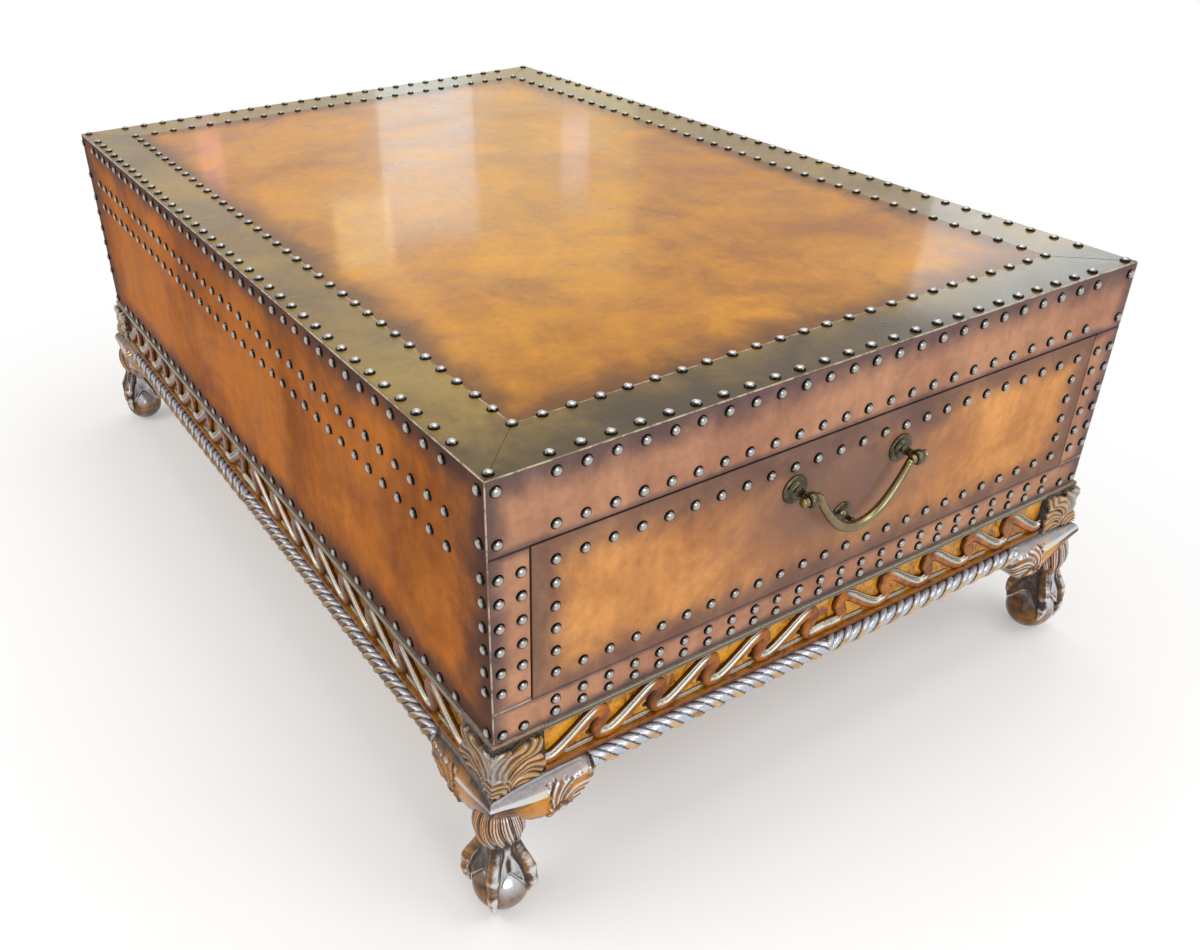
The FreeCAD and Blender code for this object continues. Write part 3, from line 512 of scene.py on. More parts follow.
def bar_strip(start, end, flip):
    """A short grooved bar along the foot of the carved ground."""
    line = np.array([(start + (end - start) * t, FRIEZE_LOW + 2.9 + 1.0 * t) for t in np.linspace(0, 1, 9)])
    points = []
    paint = []
    for number, place in enumerate(line):
        taper = 0.3 if number in (0, len(line) - 1) else 1.0
        for across, rise in BAR_SECTION:
            points.append((place[0] * flip, FRIEZE_GROUND + rise * taper - 0.2, place[1] - across * (0.5 + 0.5 * taper)))
            # Paint: cream on the bar's crest as painted highlight, dark at its foot as painted shade.
            paint.append((1.4 if rise > 2 else 0.45, 0.3, 0.9 if rise < 1 else 0.0))
    faces = lattice_faces(len(line), len(BAR_SECTION))
    if flip > 0:
        faces = [face[::-1] for face in faces]
    return points, faces, paint


def painted_shade_pocket(along, up, flip, wide=5.5, tall=3.4, sides=16):
    """A nearly flat disc painted dark beside a curl: painted shade in place of a hollow."""
    points = [(along * flip, FRIEZE_GROUND + 0.10, up)]
    for side in range(sides):
        angle = 2 * math.pi * side / sides
        points.append(((along + wide * math.cos(angle)) * flip, FRIEZE_GROUND + 0.04, up + tall * math.sin(angle)))
    faces = [(0, 1 + side, 1 + (side + 1) % sides) for side in range(sides)]
    if flip < 0:
        faces = [face[::-1] for face in faces]
    return points, faces, [(0.0, 0.2, 2.0)] + [(0.0, 0.3, 1.0)] * sides


def make_frieze(side):
    """Both halves of a side's scroll, mirrored about its middle."""
    reach = BASE_SIDES[side][4] / MM
    run = reach - CORNER_WIDTH
    waves = int(run / 66.6)
    period = (run - 18.0) / waves
    height = FRIEZE_HIGH - FRIEZE_LOW
    knots = []
    for wave in range(waves):
        knots += [((wave + u) * period - run, v * height + FRIEZE_LOW, *rest) for u, v, *rest in WAVE]
    knots.append((waves * period - run, 0.18 * height + FRIEZE_LOW, 1.0, 0.80, 7.2))
    knots.append((0.0, 0.20 * height + FRIEZE_LOW, 1.0, 0.80, 7.2))
    line = smooth_path(knots, 5)
    line[:, 2] = np.clip(line[:, 2], 0, 1)
    points = []
    faces = []
    paint = []

    def gather(strip):
        start = len(points)
        points.extend(strip[0])
        faces.extend([tuple(start + index for index in face) for face in strip[1]])
        paint.extend(strip[2])

    for flip in (1, -1):
        gather(ribbon_strip(line, flip))
        for wave in range(waves):
            start = -run + wave * period
            gather(bar_strip(start + 0.33 * period, start + 0.86 * period, flip))
            gather(painted_shade_pocket(start + 0.80 * period, FRIEZE_LOW + 0.30 * height, flip))
    return new_piece(
        f"frieze_{side}", on_side(side, points), faces, materials["carved"], "root",
        paint=np.array(paint),
    )


FAT_SHARE = 0.46


def rope_relief(phase):
    """A rope's surface round its twist, phase 0 to 1: radius as a share, then its paint, with painted highlight and
    painted shade.
    """
    if phase < FAT_SHARE:
        across = 2 * phase / FAT_SHARE - 1
        round_over = math.sqrt(1 - across * across)
        # Fat strand: a painted highlight on its crest and painted shade at its edges, in the grooves.
        return 0.64 + 0.36 * round_over, (0.40 * round_over**6, 0.75, 6.0 * (abs(across) - 0.72))
    across = 2 * (phase - FAT_SHARE) / (1 - FAT_SHARE) - 1
    round_over = math.sqrt(1 - across * across)
    # Grooved strand: silver, with painted shade in the grooves at its edges and between its threads.
    thread = max(0.0, math.cos(across * 3 * math.pi)) ** 4
    dark = max(6.0 * (abs(across) - 0.80), 0.75 * thread)
    return 0.64 + 0.23 * round_over - 0.02 * thread, (0.85, 0.35, dark)


def make_rope(side):
    """Two fat strands and two finely grooved ones, twisted one way up to the middle and back after it."""
    reach = BASE_SIDES[side][4] / MM
    half = reach - ROPE_START
    steps = int(2 * half / 1.25)
    around = 56
    points = []
    paint = []
    for step in range(steps + 1):
        along = -half + 2 * half * step / steps
        twist = abs(along) / ROPE_LEAD
        for turn in range(around):
            angle = 2 * math.pi * turn / around
            share, (silver, gold, dark) = rope_relief((2 * turn / around - twist) % 1.0)
            radius = ROPE_RADIUS * share
            points.append((along, ROPE_OUT + radius * math.cos(angle), ROPE_UP + radius * math.sin(angle)))
            # Painted reflection: the rope's upward half is painted silver.
            rub_and_painted_sheen = min(1.0, max(0.0, (math.sin(angle) - 0.30) / 0.35))
            paint.append((max(silver, 0.75 * rub_and_painted_sheen), gold, dark))
    faces = lattice_faces(steps + 1, around, wrap=True)
    faces = [face[::-1] for face in faces]
    faces.append(tuple(range(around)))
    faces.append(tuple(reversed(range(steps * around, (steps + 1) * around))))
    rope = new_piece(
        f"rope_{side}", on_side(side, points), faces, materials["rope"], "root",
        paint=np.array(paint),
    )
    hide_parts(f"rope_moulding_{side}")


# Corners: each is drawn with the case inside -x, -y, then turned and put at its corner
CORNERS = {
    "front_right": (0, HALF_LENGTH, HALF_WIDTH),
    "rear_right": (1, -HALF_LENGTH, HALF_WIDTH),
    "rear_left": (2, -HALF_LENGTH, -HALF_WIDTH),
    "front_left": (3, HALF_LENGTH, -HALF_WIDTH),
}


def at_corner(corner, points):
    """Millimetres in a corner's own frame, put into the frame in metres."""
    quarter, x, y = CORNERS[corner]
    cosine, sine = ((1, 0), (0, 1), (-1, 0), (0, -1))[quarter]
    points = np.asarray(points, float) * MM
    placed = np.empty_like(points)
    placed[:, 0] = x + points[:, 0] * cosine - points[:, 1] * sine
    placed[:, 1] = y + points[:, 0] * sine + points[:, 1] * cosine
    placed[:, 2] = points[:, 2]
    return placed


# Corner acanthus: a fan of fluted fronds over a curled knob, both about a point low on the corner's edge
FAN_UP = 0.0
KNOB_RADIUS = 18.0
KNOB_RISE = 8.0
FROND_RATE = 5.6
FLUTE_RATE = 34.0


def acanthus_relief(along, up, height):
    """How far a corner's carving stands out, and its paint with painted highlights and painted shade, at places along
    a face and up.
    """
    rise_up = up - FAN_UP
    reach = np.hypot(along, rise_up)
    turn = np.arctan2(along, rise_up)
    bend = turn + 0.16 * np.sin(reach * 0.11 - 1.2)
    lobe = np.abs(np.cos(bend * FROND_RATE)) ** 0.5
    tip_up = (height - 1.0) / np.maximum(np.cos(turn), 0.05)
    tip_along = (CORNER_WIDTH - 1.0) / np.maximum(np.sin(turn), 0.05)
    tip = np.minimum(tip_up, tip_along) - 9.0 * (1 - lobe)
    leaf = np.clip((tip - reach) / 1.5, 0, 1)
    flute = np.cos(bend * FLUTE_RATE + 0.5 * np.sin(reach * 0.35) + 1.3 * np.sin(turn * 7))
    curl = np.clip((reach / tip - 0.62) / 0.38, 0, 1)
    fan = leaf * (0.4 + 4.4 * lobe + 0.5 * flute * np.clip(reach / 22, 0, 1) + 2.2 * curl**2)
    ball = np.sqrt(np.clip(1 - (reach / KNOB_RADIUS) ** 2, 0, 1))
    arch = np.cos(reach * 1.55 + turn * 1.2)
    knob = KNOB_RISE * ball + 0.8 * arch * (ball > 0.15)
    relief = np.maximum(fan, knob)
    on_knob = knob > fan
    ridge = np.where(on_knob, arch, flute)
    # Paint: silver on the crests and down the fan's middle, partly painted highlight; gold lighter on the ridges;
    # painted shade in the flutes, between the fronds and around the fan.
    crest = np.clip(ridge, 0, 1)
    centre = np.exp(-((along / 11.0) ** 2))
    silver = crest**2 * np.where(on_knob, 0.8, 0.35) + 0.60 * centre * (~on_knob) + 0.6 * crest**6
    gold = np.clip(0.55 + 0.45 * ridge, 0, 1)
    dark = np.maximum(np.clip(-ridge * 1.1 - 0.40, 0, 1), np.clip(1.15 - lobe * 2.2, 0, 1) * ~on_knob)
    dark = np.where((leaf < 0.6) & ~on_knob, 0.95, dark * (1 - 0.5 * centre))
    return relief, np.stack([silver.ravel(), gold.ravel(), dark.ravel()], 1)


def make_corner_block(corner):
    """Acanthus round a corner: a fluted fan on each face and a leaf that curls out at the corner."""
    low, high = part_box(f"corner_block_{corner}")
    base = low.z / MM
    height = high.z / MM - FILLET_HIGH - base
    carved, fillet, columns = 84, 7, 181
    share = np.concatenate([np.linspace(0, 1, carved), np.ones(fillet)])[:, None]
    lift = np.concatenate([np.zeros(carved), np.linspace(0.02, 1, fillet)])[:, None]
    even = np.ones((carved + fillet, columns))
    up = share * height * even
    around = np.linspace(-1, 1, columns)[None, :] * CORNER_WIDTH * even
    along = np.abs(around)
    relief, paint = acanthus_relief(along, up, height)
    swell = 1.5 + 1.6 * np.sin(share * math.pi)
    edge = np.clip((CORNER_WIDTH - along) / 2.0, 0, 1) * np.clip((height - up) / 1.5 + 0.3, 0, 1)
    out = np.minimum(swell + (relief - 0.5) * edge, 11.5)
    rounded = FILLET_OUT * (0.55 + 0.45 * np.sqrt(np.clip(1 - (2 * lift - 1) ** 2, 0, 1)))
    on_fillet = (lift > 0) & (even > 0)
    out = np.where(on_fillet, rounded, out)
    # The two faces lean into each other round the corner's edge
    blend = np.clip(1 - along / 8.0, 0, 1)
    across = -along + blend * out
    x = np.where(around > 0, out, across)
    y = np.where(around > 0, across, out)
    points = np.stack([x.ravel(), y.ravel(), (base + up + lift * FILLET_HIGH).ravel()], 1)
    # Painted shade: a dark line along the middle of the fillet, where a groove would be.
    line = np.clip(1 - np.abs(lift * even - 0.45) / 0.22, 0, 1).ravel()
    trim = np.stack([0.45 - 0.4 * line, 0.30 + 0 * line, 0.42 + 0.6 * line], 1)
    paint = np.where(on_fillet.ravel()[:, None], trim, paint)
    rows = carved + fillet
    faces = lattice_faces(rows, columns)
    front = len(points)
    inner = -CORNER_WIDTH
    points = np.concatenate([points, [(inner, inner, base), (inner, inner, base + height + FILLET_HIGH)]])
    paint = np.concatenate([paint, [(0, 0.2, 1)] * 2])
    faces.append(tuple(reversed(range(columns))) + (front,))
    faces.append(tuple(range((rows - 1) * columns, rows * columns)) + (front + 1,))
    faces.append(tuple(row * columns for row in range(rows)) + (front + 1, front))
    faces.append(tuple(row * columns + columns - 1 for row in reversed(range(rows))) + (front, front + 1))
    block = new_piece(
        f"acanthus_{corner}", at_corner(corner, points), faces, materials["leaf"], "root",
        paint=paint,
    )
    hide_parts(f"corner_block_{corner}")


# Legs
WING_REACH = 107.0
WING_TOP = 158.5
WING_BACK = -34.0
# Knee's lower edge: distance from the corner and height
WING_LOW = (
    (0.0, 136.0),
    (8.0, 130.5),
    (16.0, 121.5),
    (24.0, 112.5),
    (32.0, 106.0),
    (44.0, 101.5),
    (56.0, 100.0),
    (72.0, 102.5),
    (86.0, 112.0),
    (95.0, 121.0),
    (103.0, 131.0),
    (107.0, 140.0),
)
LEAF_START = 49.0
LEAF_EYE = (64.0, 113.0)


def wing_leaf(along, z):
    """The leaf at a knee's end: how far it covers, its relief, its crests for silver paint that is partly a painted
    highlight, and painted shade in its hollows and flutes.
    """
    u = along - LEAF_EYE[0]
    v = z - LEAF_EYE[1]
    reach = np.hypot(u, v)
    direction = np.arctan2(v, u)
    ragged = 1.8 * np.sin(z * 0.62) + 1.1 * np.sin(z * 1.45 + 1)
    cover = np.clip((along - LEAF_START - ragged) / 1.2, 0, 1)
    roof = 151.0 - 0.16 * (along - LEAF_START) + 1.8 * np.sin(along * 0.46) + 0.9 * np.sin(along * 1.1)
    cover = cover * np.clip((roof - z) / 1.4, 0, 1)
    swirl = direction + 0.035 * (reach - 8.0)
    lobe = np.abs(np.cos(swirl * 4.0)) ** 0.6
    flute = np.cos(swirl * 19.0)
    eye = np.sqrt(np.clip(1 - (reach / 5.5) ** 2, 0, 1))
    hollow = np.clip(1 - np.abs(reach - 7.6) / 2.6, 0, 1)
    far = np.clip((reach - 8.0) / 7.0, 0, 1)
    carve = cover * (1.0 + far * (2.4 * lobe + 0.65 * flute) + 2.6 * eye - 1.8 * hollow)
    ridge = far * np.clip(0.5 + 0.5 * flute, 0, 1) + (1 - far) * eye
    dark = np.clip(hollow * 1.4 + far * (1 - lobe * 1.9) + far * np.clip(-flute - 0.2, 0, 1) * 0.8, 0, 1)
    return cover, carve, ridge, dark


def wing_surface(mirror):
    """One knee wing along -y from the corner; mirror swaps x and y."""
    rows, columns = 130, 64
    along = np.linspace(0, WING_REACH, rows)[:, None] * np.ones((1, columns))
    turn = np.linspace(0, 1, columns)[None, :] * np.ones((rows, 1))
    low = np.interp(along, *zip(*WING_LOW))
    end = np.clip((WING_REACH - along) / 16.0, 0, 1) ** 0.5
    top = WING_TOP - 8.0 * (1 - end)
    middle = (low + top) / 2
    half = (top - low) / 2
    nose = 13.0 * (0.45 + 0.55 * end) * (1 - 0.15 * np.clip((along - 50) / 50, 0, 1))
    angle = (turn - 0.5) * math.pi
    z = middle + half * np.sin(angle)
    cover, carve, ridge, dark = wing_leaf(along, z)
    x = 2.0 + nose * np.cos(angle) ** 0.95 + carve * np.clip(np.cos(angle) * 2.2, 0, 1)
    x = np.minimum(x, 18.5)
    y = -along + x * np.clip(1 - along / 30.0, 0, 1)
    points = np.stack([x.ravel(), y.ravel(), z.ravel()], 1)
    upward = np.sin(angle)
    plain = 1 - cover
    toward_leaf = np.clip(along / 40.0, 0, 1)
    # Painted reflection: a silver band on the upward face with a white painted highlight line at its lower edge.
    band = np.clip((upward - 0.22) / 0.06, 0, 1)
    highlight_line = np.exp(-(((upward - 0.36) / 0.11) ** 2))
    silver = plain * (band * 0.50 + highlight_line * (0.55 + 0.65 * toward_leaf)) + cover * ridge**2 * 0.95
    # Painted light: the gold is lighter across the middle of the roll and toward the leaf; the top edge is painted
    # dark to hide a highlight and the underside is painted shade; the plain part also darkens toward the corner.
    gold = plain * (0.20 + 0.75 * toward_leaf) * np.clip(1.1 - 0.8 * np.abs(upward + 0.15), 0, 1) + cover * 0.50
    rim = np.clip((upward - 0.74) / 0.2, 0, 1) * 0.6
    dark = cover * dark + plain * (np.clip((-upward - 0.35) / 0.6, 0, 1) * 0.8 + rim + 0.35 * (1 - toward_leaf) ** 2)
    paint = np.stack([silver.ravel(), gold.ravel(), dark.ravel()], 1)
    faces = lattice_faces(rows, columns)
    base = len(points)
    back = []
    for row in range(rows):
        y_back = points[row * columns, 1] if row else WING_BACK
        for height in (points[row * columns, 2], points[row * columns + columns - 1, 2]):
            back.append((WING_BACK, y_back, height))
    points = np.concatenate([points, back])
    paint = np.concatenate([paint, [(0.0, 0.25, 0.9)] * len(back)])
    for row in range(rows - 1):
        low_front = row * columns
        high_front = low_front + columns - 1
        low_back = base + 2 * row
        faces.append((low_front, low_front + columns, low_back + 2, low_back))
        faces.append((high_front + columns, high_front, low_back + 1, low_back + 3))
        faces.append((low_back, low_back + 2, low_back + 3, low_back + 1))
    last = (rows - 1) * columns
    faces.append(tuple(range(last, last + columns)) + (base + 2 * rows - 1, base + 2 * rows - 2))
    faces.append((base, base + 1) + tuple(reversed(range(columns))))
    if mirror:
        points = points[:, [1, 0, 2]]
        faces = [face[::-1] for face in faces]
    return points, faces, paint


def ball_mesh(centre, radius, rows=40, columns=64):
    points = []
    for row in range(1, rows):
        polar = math.pi * row / rows
        for column in range(columns):
            angle = 2 * math.pi * column / columns
            points.append(
                (
                    centre[0] + radius * math.sin(polar) * math.cos(angle),
                    centre[1] + radius * math.sin(polar) * math.sin(angle),
                    centre[2] + radius * math.cos(polar),
                )
            )
    faces = lattice_faces(rows - 1, columns, wrap=True)
    top = len(points)
    points.append((centre[0], centre[1], centre[2] + radius))
    points.append((centre[0], centre[1], centre[2] - radius))
    faces = [face[::-1] for face in faces]
    faces += [(top, column, (column + 1) % columns) for column in range(columns)]
    last = (rows - 2) * columns
    faces += [(top + 1, last + (column + 1) % columns, last + column) for column in range(columns)]
    return points, faces


def chain(beads, spacing=0.22):
    """Balls closely along a line of beads, each (x, y, z, radius), to be melted into one limb."""
    chained = []
    for first, second in zip(beads, beads[1:]):
        gap = math.dist(first[:3], second[:3])
        count = max(1, int(gap / (spacing * min(first[3], second[3]) + 0.4)))
        for step in range(count):
            share = step / count
            chained.append([a + (b - a) * share for a, b in zip(first, second)])
    chained.append(list(beads[-1]))
    return chained


# Toes from the ankle to the talon's tip: out from the foot's axis, height, radius
FRONT_TOE = (
    (9.0, 101.0, 9.0),
    (14.0, 89.0, 7.2),
    (20.0, 77.0, 6.2),
    (26.0, 67.0, 5.9),
    (29.6, 58.5, 6.5),
    (31.0, 50.0, 5.1),
    (31.6, 42.0, 4.7),
    (32.0, 35.0, 5.6),
    (31.6, 27.0, 4.4),
    (29.8, 18.5, 3.5),
    (26.0, 10.0, 2.5),
    (21.8, 4.2, 1.3),
)
# The side toes end halfway down the ball
SIDE_TOE = (
    (9.0, 101.0, 9.0),
    (14.0, 89.0, 7.4),
    (21.0, 78.0, 6.7),
    (27.5, 69.0, 6.3),
    (31.2, 60.5, 7.0),
    (32.8, 52.0, 5.5),
    (33.4, 45.0, 6.0),
    (33.2, 38.0, 4.5),
    (31.8, 31.5, 3.0),
    (30.2, 26.5, 1.6),
)
# The rear toe ends high on the ball
REAR_TOE = (
    (9.0, 101.0, 9.5),
    (13.0, 90.0, 8.8),
    (18.5, 78.0, 8.0),
    (24.0, 68.0, 7.2),
    (27.8, 59.0, 6.8),
    (29.4, 51.0, 5.0),
    (29.4, 44.0, 3.2),
    (28.6, 39.5, 1.8),
)
# Web from the ankle to a scalloped edge over the ball: height, neck radius and radius along a toe
WEB = (
    (98.0, 16.8, 16.8),
    (88.0, 17.2, 18.0),
    (78.0, 17.2, 20.5),
    (70.0, 17.2, 24.5),
    (62.0, 17.6, 28.0),
    (57.0, 18.2, 29.6),
    (50.0, 18.6, 30.2),
    (42.0, 18.6, 30.6),
    (34.0, 18.6, 30.6),
)
WEB_LOW = 57.0
WEB_DIP = 21.0
WEB_SPREAD = 24.0
WEB_SIDES = 72
WEB_ROWS = 16
TOES = ((45, FRONT_TOE), (125, SIDE_TOE), (-35, SIDE_TOE), (225, REAR_TOE))


def foot_core():
    """Ankle and toes melted into one mesh, in the corner's frame."""
    beads = []
    axis = (-FOOT_INSET, -FOOT_INSET)
    for turn, shape in TOES:
        cosine, sine = math.cos(math.radians(turn)), math.sin(math.radians(turn))
        toe = [(axis[0] + out * cosine, axis[1] + out * sine, up, radius) for out, up, radius in shape]
        beads += chain(toe)
    shank = [(*axis, 66.0, 14.0), (*axis, 76.0, 16.6), (*axis, 88.0, 17.0), (*axis, 104.0, 16.6), (*axis, 128.0, 19.0)]
    beads += chain(shank)
    points = []
    faces = []
    for x, y, z, radius in beads:
        bead_points, bead_faces = ball_mesh((x, y, z), radius, 10, 14)
        start = len(points)
        points += bead_points
        faces += [tuple(start + index for index in face) for face in bead_faces]
    start = len(points)
    turns = np.arange(WEB_SIDES) * 360 / WEB_SIDES
    apart = [(turns - toe + 180) % 360 - 180 for toe, _ in TOES]
    hug = np.max([np.exp(-((angle / WEB_SPREAD) ** 2)) for angle in apart], axis=0)
    heights, necks, reaches = (values[::-1] for values in zip(*WEB))
    cosines, sines = np.cos(np.radians(turns)), np.sin(np.radians(turns))
    for row in range(WEB_ROWS + 1):
        z = 98.0 + (WEB_LOW - WEB_DIP * hug - 98.0) * min(row, WEB_ROWS - 1) / (WEB_ROWS - 1)
        neck = np.interp(z, heights, necks)
        radius = neck + (np.interp(z, heights, reaches) - neck) * hug
        if row == WEB_ROWS:
            radius = radius * 0.4
        points += list(zip(axis[0] + radius * cosines, axis[1] + radius * sines, z))
    rings = lattice_faces(WEB_ROWS + 1, WEB_SIDES, start, wrap=True)
    faces += [face[::-1] for face in rings]
    faces.append(tuple(range(start, start + WEB_SIDES)))
    faces.append(tuple(reversed(range(len(points) - WEB_SIDES, len(points)))))
    mesh = bpy.data.meshes.new("foot_blank")
    mesh.from_pydata(points, [], faces)
    blank = bpy.data.objects.new("foot_blank", mesh)
    bpy.context.scene.collection.objects.link(blank)
    melt = blank.modifiers.new("melt", "REMESH")
    melt.mode = "VOXEL"
    melt.voxel_size = 1.15
    ease = blank.modifiers.new("ease", "SMOOTH")
    ease.factor = 0.6
    ease.iterations = 5
    shaped = blank.evaluated_get(bpy.context.evaluated_depsgraph_get())
    melted = bpy.data.meshes.new_from_object(shaped)
    count = len(melted.vertices)
    shape = np.empty(count * 3)
    melted.vertices.foreach_get("co", shape)
    shape = shape.reshape(-1, 3)
    faces = [tuple(polygon.vertices) for polygon in melted.polygons]
    bpy.data.objects.remove(blank)
    bpy.data.meshes.remove(mesh)
    bpy.data.meshes.remove(melted)
    curve = hollowness(shape, faces)
    # Paint from curvature: silver on proud crests and gold on knuckles, partly painted highlight; painted shade in
    # hollows; the webbing painted silver as a painted reflection.
    silver = np.clip(-curve * 2.4 - 0.42, 0, 1)
    dark = np.clip(curve * 3.0 - 0.35, 0, 0.9)
    knuckle = np.clip(-curve * 1.4 - 0.1, 0, 1)
    web_sheen = np.clip(1 - np.abs(curve) * 4, 0, 1) * np.clip((96 - shape[:, 2]) / 12, 0, 1)
    paint = np.stack([np.maximum(silver * 1.55, web_sheen * 0.78), 0.10 + 0.85 * knuckle, dark], 1)
    return shape, faces, paint


def hollowness(points, faces, rounds=3):
    """How hollow (above nought) or proud (below nought) each point lies, smoothed."""
    points = np.asarray(points, float)
    edges = np.array(
        [(face[index], face[(index + 1) % len(face)]) for face in faces for index in range(len(face))]
    )
    total = np.zeros_like(points)
    count = np.zeros(len(points))
    for first, second in ((0, 1), (1, 0)):
        np.add.at(total, edges[:, first], points[edges[:, second]])
        np.add.at(count, edges[:, first], 1)
    normals = np.zeros_like(points)
    corners = np.array([face[:3] for face in faces])
    a, b, c = points[corners[:, 0]], points[corners[:, 1]], points[corners[:, 2]]
    face_normals = np.cross(b - a, c - a)
    for column in range(3):
        np.add.at(normals, corners[:, column], face_normals)
    normals /= np.maximum(np.linalg.norm(normals, axis=1), 1e-9)[:, None]
    offset = total / np.maximum(count, 1)[:, None] - points
    curve = np.einsum("ij,ij->i", offset, normals)
    for _ in range(rounds):
        gathered = np.zeros(len(points))
        for first, second in ((0, 1), (1, 0)):
            np.add.at(gathered, edges[:, first], curve[edges[:, second]])
        curve = 0.4 * curve + 0.6 * gathered / np.maximum(count, 1)
    return curve * 8


def hair_collar():
    """Ring of carved tufts where the knee meets the ankle."""
    rows, columns = 46, 220
    share = np.linspace(0, 1, rows)[:, None] * np.ones((1, columns))
    angle = np.linspace(0, 2 * math.pi, columns, endpoint=False)[None, :] * np.ones((rows, 1))
    swirl = angle + 0.35 * np.sin(share * 2.2)
    tuft = np.abs(np.sin(swirl * 6.5))
    hair = np.cos(swirl * 52 + share * 3 + 1.2 * np.sin(swirl * 9))
    low = 91.0 + 7.0 * (1 - tuft) - 2.5 * np.sin(angle * 3 + 0.6)
    z = low + (143.0 - low) * share
    body = 17.0 + 5.6 * np.sin(np.clip(share * 1.25, 0, 1) * math.pi) ** 0.7 + 2.5 * share
    lift = 1.6 * tuft**0.6 * np.sin(np.clip(share + 0.12, 0, 1) * math.pi) ** 0.5 + 0.38 * hair
    radius = body + lift
    radius[0] -= 4.0
    x = -FOOT_INSET + radius * np.cos(angle)
    y = -FOOT_INSET + radius * np.sin(angle)
    points = np.stack([x.ravel(), y.ravel(), z.ravel()], 1)
    faces = lattice_faces(rows, columns, wrap=True)
    start = len(points)
    points = np.concatenate([points, [(-FOOT_INSET, -FOOT_INSET, 96.0), (-FOOT_INSET, -FOOT_INSET, 143.0)]])
    last = (rows - 1) * columns
    faces += [(start, (column + 1) % columns, column) for column in range(columns)]
    faces += [(start + 1, last + column, last + (column + 1) % columns) for column in range(columns)]
    # Painted highlight on the hair's crests, painted shade between tufts and strands.
    crest = np.clip(hair, 0, 1)
    silver = 0.30 + crest**2 * tuft * 0.75 + 0.45 * crest**6
    dark = np.clip(1 - tuft * 1.8, 0, 1) * 0.9 + 1.1 * np.clip(-hair - 0.1, 0, 1)
    paint = np.stack([silver.ravel(), (0.35 + 0.35 * tuft).ravel(), dark.ravel()], 1)
    paint = np.concatenate([paint, [(0, 0.2, 1)] * 2])
    return points, faces, paint


def leg_shape():
    """All the carvings of one leg, in the corner's frame: points, faces and paint."""
    ball_points, ball_faces = ball_mesh((-FOOT_INSET, -FOOT_INSET, BALL_UP), BALL_RADIUS, 48, 72)
    ball_points = np.array(ball_points)
    ball_points[:, 2] = np.maximum(ball_points[:, 2], 0)
    ball_paint = np.tile((0.36, 0.34, 0.0), (len(ball_points), 1))
    # Painted reflection: the ball's upper half is painted silver.
    ball_paint[:, 0] += 0.65 * np.clip((ball_points[:, 2] - BALL_UP) / BALL_RADIUS - 0.05, 0, 1)
    strips = [wing_surface(False), wing_surface(True), hair_collar(), foot_core(), (ball_points, ball_faces, ball_paint)]
    points = []
    faces = []
    paint = []
    total = 0
    for strip_points, strip_faces, strip_paint in strips:
        points.append(np.asarray(strip_points, float))
        paint.append(np.asarray(strip_paint, float))
        faces += [tuple(total + index for index in face) for face in strip_faces]
        total += len(strip_points)
    return np.concatenate(points), faces, np.concatenate(paint)


def make_legs():
    points, faces, paint = leg_shape()
    for corner in CORNERS:
        leg = new_piece(
            f"carved_leg_{corner}", at_corner(corner, points), faces, materials["bronze"], "root",
            paint=paint,
        )
        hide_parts(f"leg_{corner}")


# Drawer pull
def lathe(profile, sides, centre, axis):
    """A turned form: profile of (along, radius) about an axis through a centre, in metres."""
    axis = Vector(axis).normalized()
    across = Vector((0, 0, 1)) if abs(axis.z) < 0.9 else Vector((1, 0, 0))
    other = axis.cross(across)
    points = []
    for along, radius in profile:
        for side in range(sides):
            angle = 2 * math.pi * side / sides
            spot = Vector(centre) + axis * along + (across * math.cos(angle) + other * math.sin(angle)) * radius
            points.append(tuple(spot))
    faces = lattice_faces(len(profile), sides, wrap=True)
    faces.append(tuple(reversed(range(sides))))
    faces.append(tuple(range((len(profile) - 1) * sides, len(profile) * sides)))
    return points, faces


def joined(strips):
    points = []
    faces = []
    for strip_points, strip_faces in strips:
        start = len(points)
        points += [tuple(point) for point in strip_points]
        faces += [tuple(start + index for index in face) for face in strip_faces]
    return points, faces


def tube(line, radii, sides=28):
    """A round bar along a line, with a radius at each point, in metres."""
    line = np.array(line)
    ahead = np.gradient(line, axis=0)
    ahead /= np.linalg.norm(ahead, axis=1)[:, None]
    across = np.array([1.0, 0.0, 0.0])
    points = []
    for place, forward, radius in zip(line, ahead, radii):
        other = np.cross(forward, across)
        for side in range(sides):
            angle = 2 * math.pi * side / sides
            points.append(tuple(place + radius * (across * math.cos(angle) + other * math.sin(angle))))
    faces = lattice_faces(len(line), sides, wrap=True)
    faces.append(tuple(reversed(range(sides))))
    faces.append(tuple(range((len(line) - 1) * sides, len(line) * sides)))
    return points, faces


def scaled(profile):
    return [(along * MM, radius * MM) for along, radius in profile]


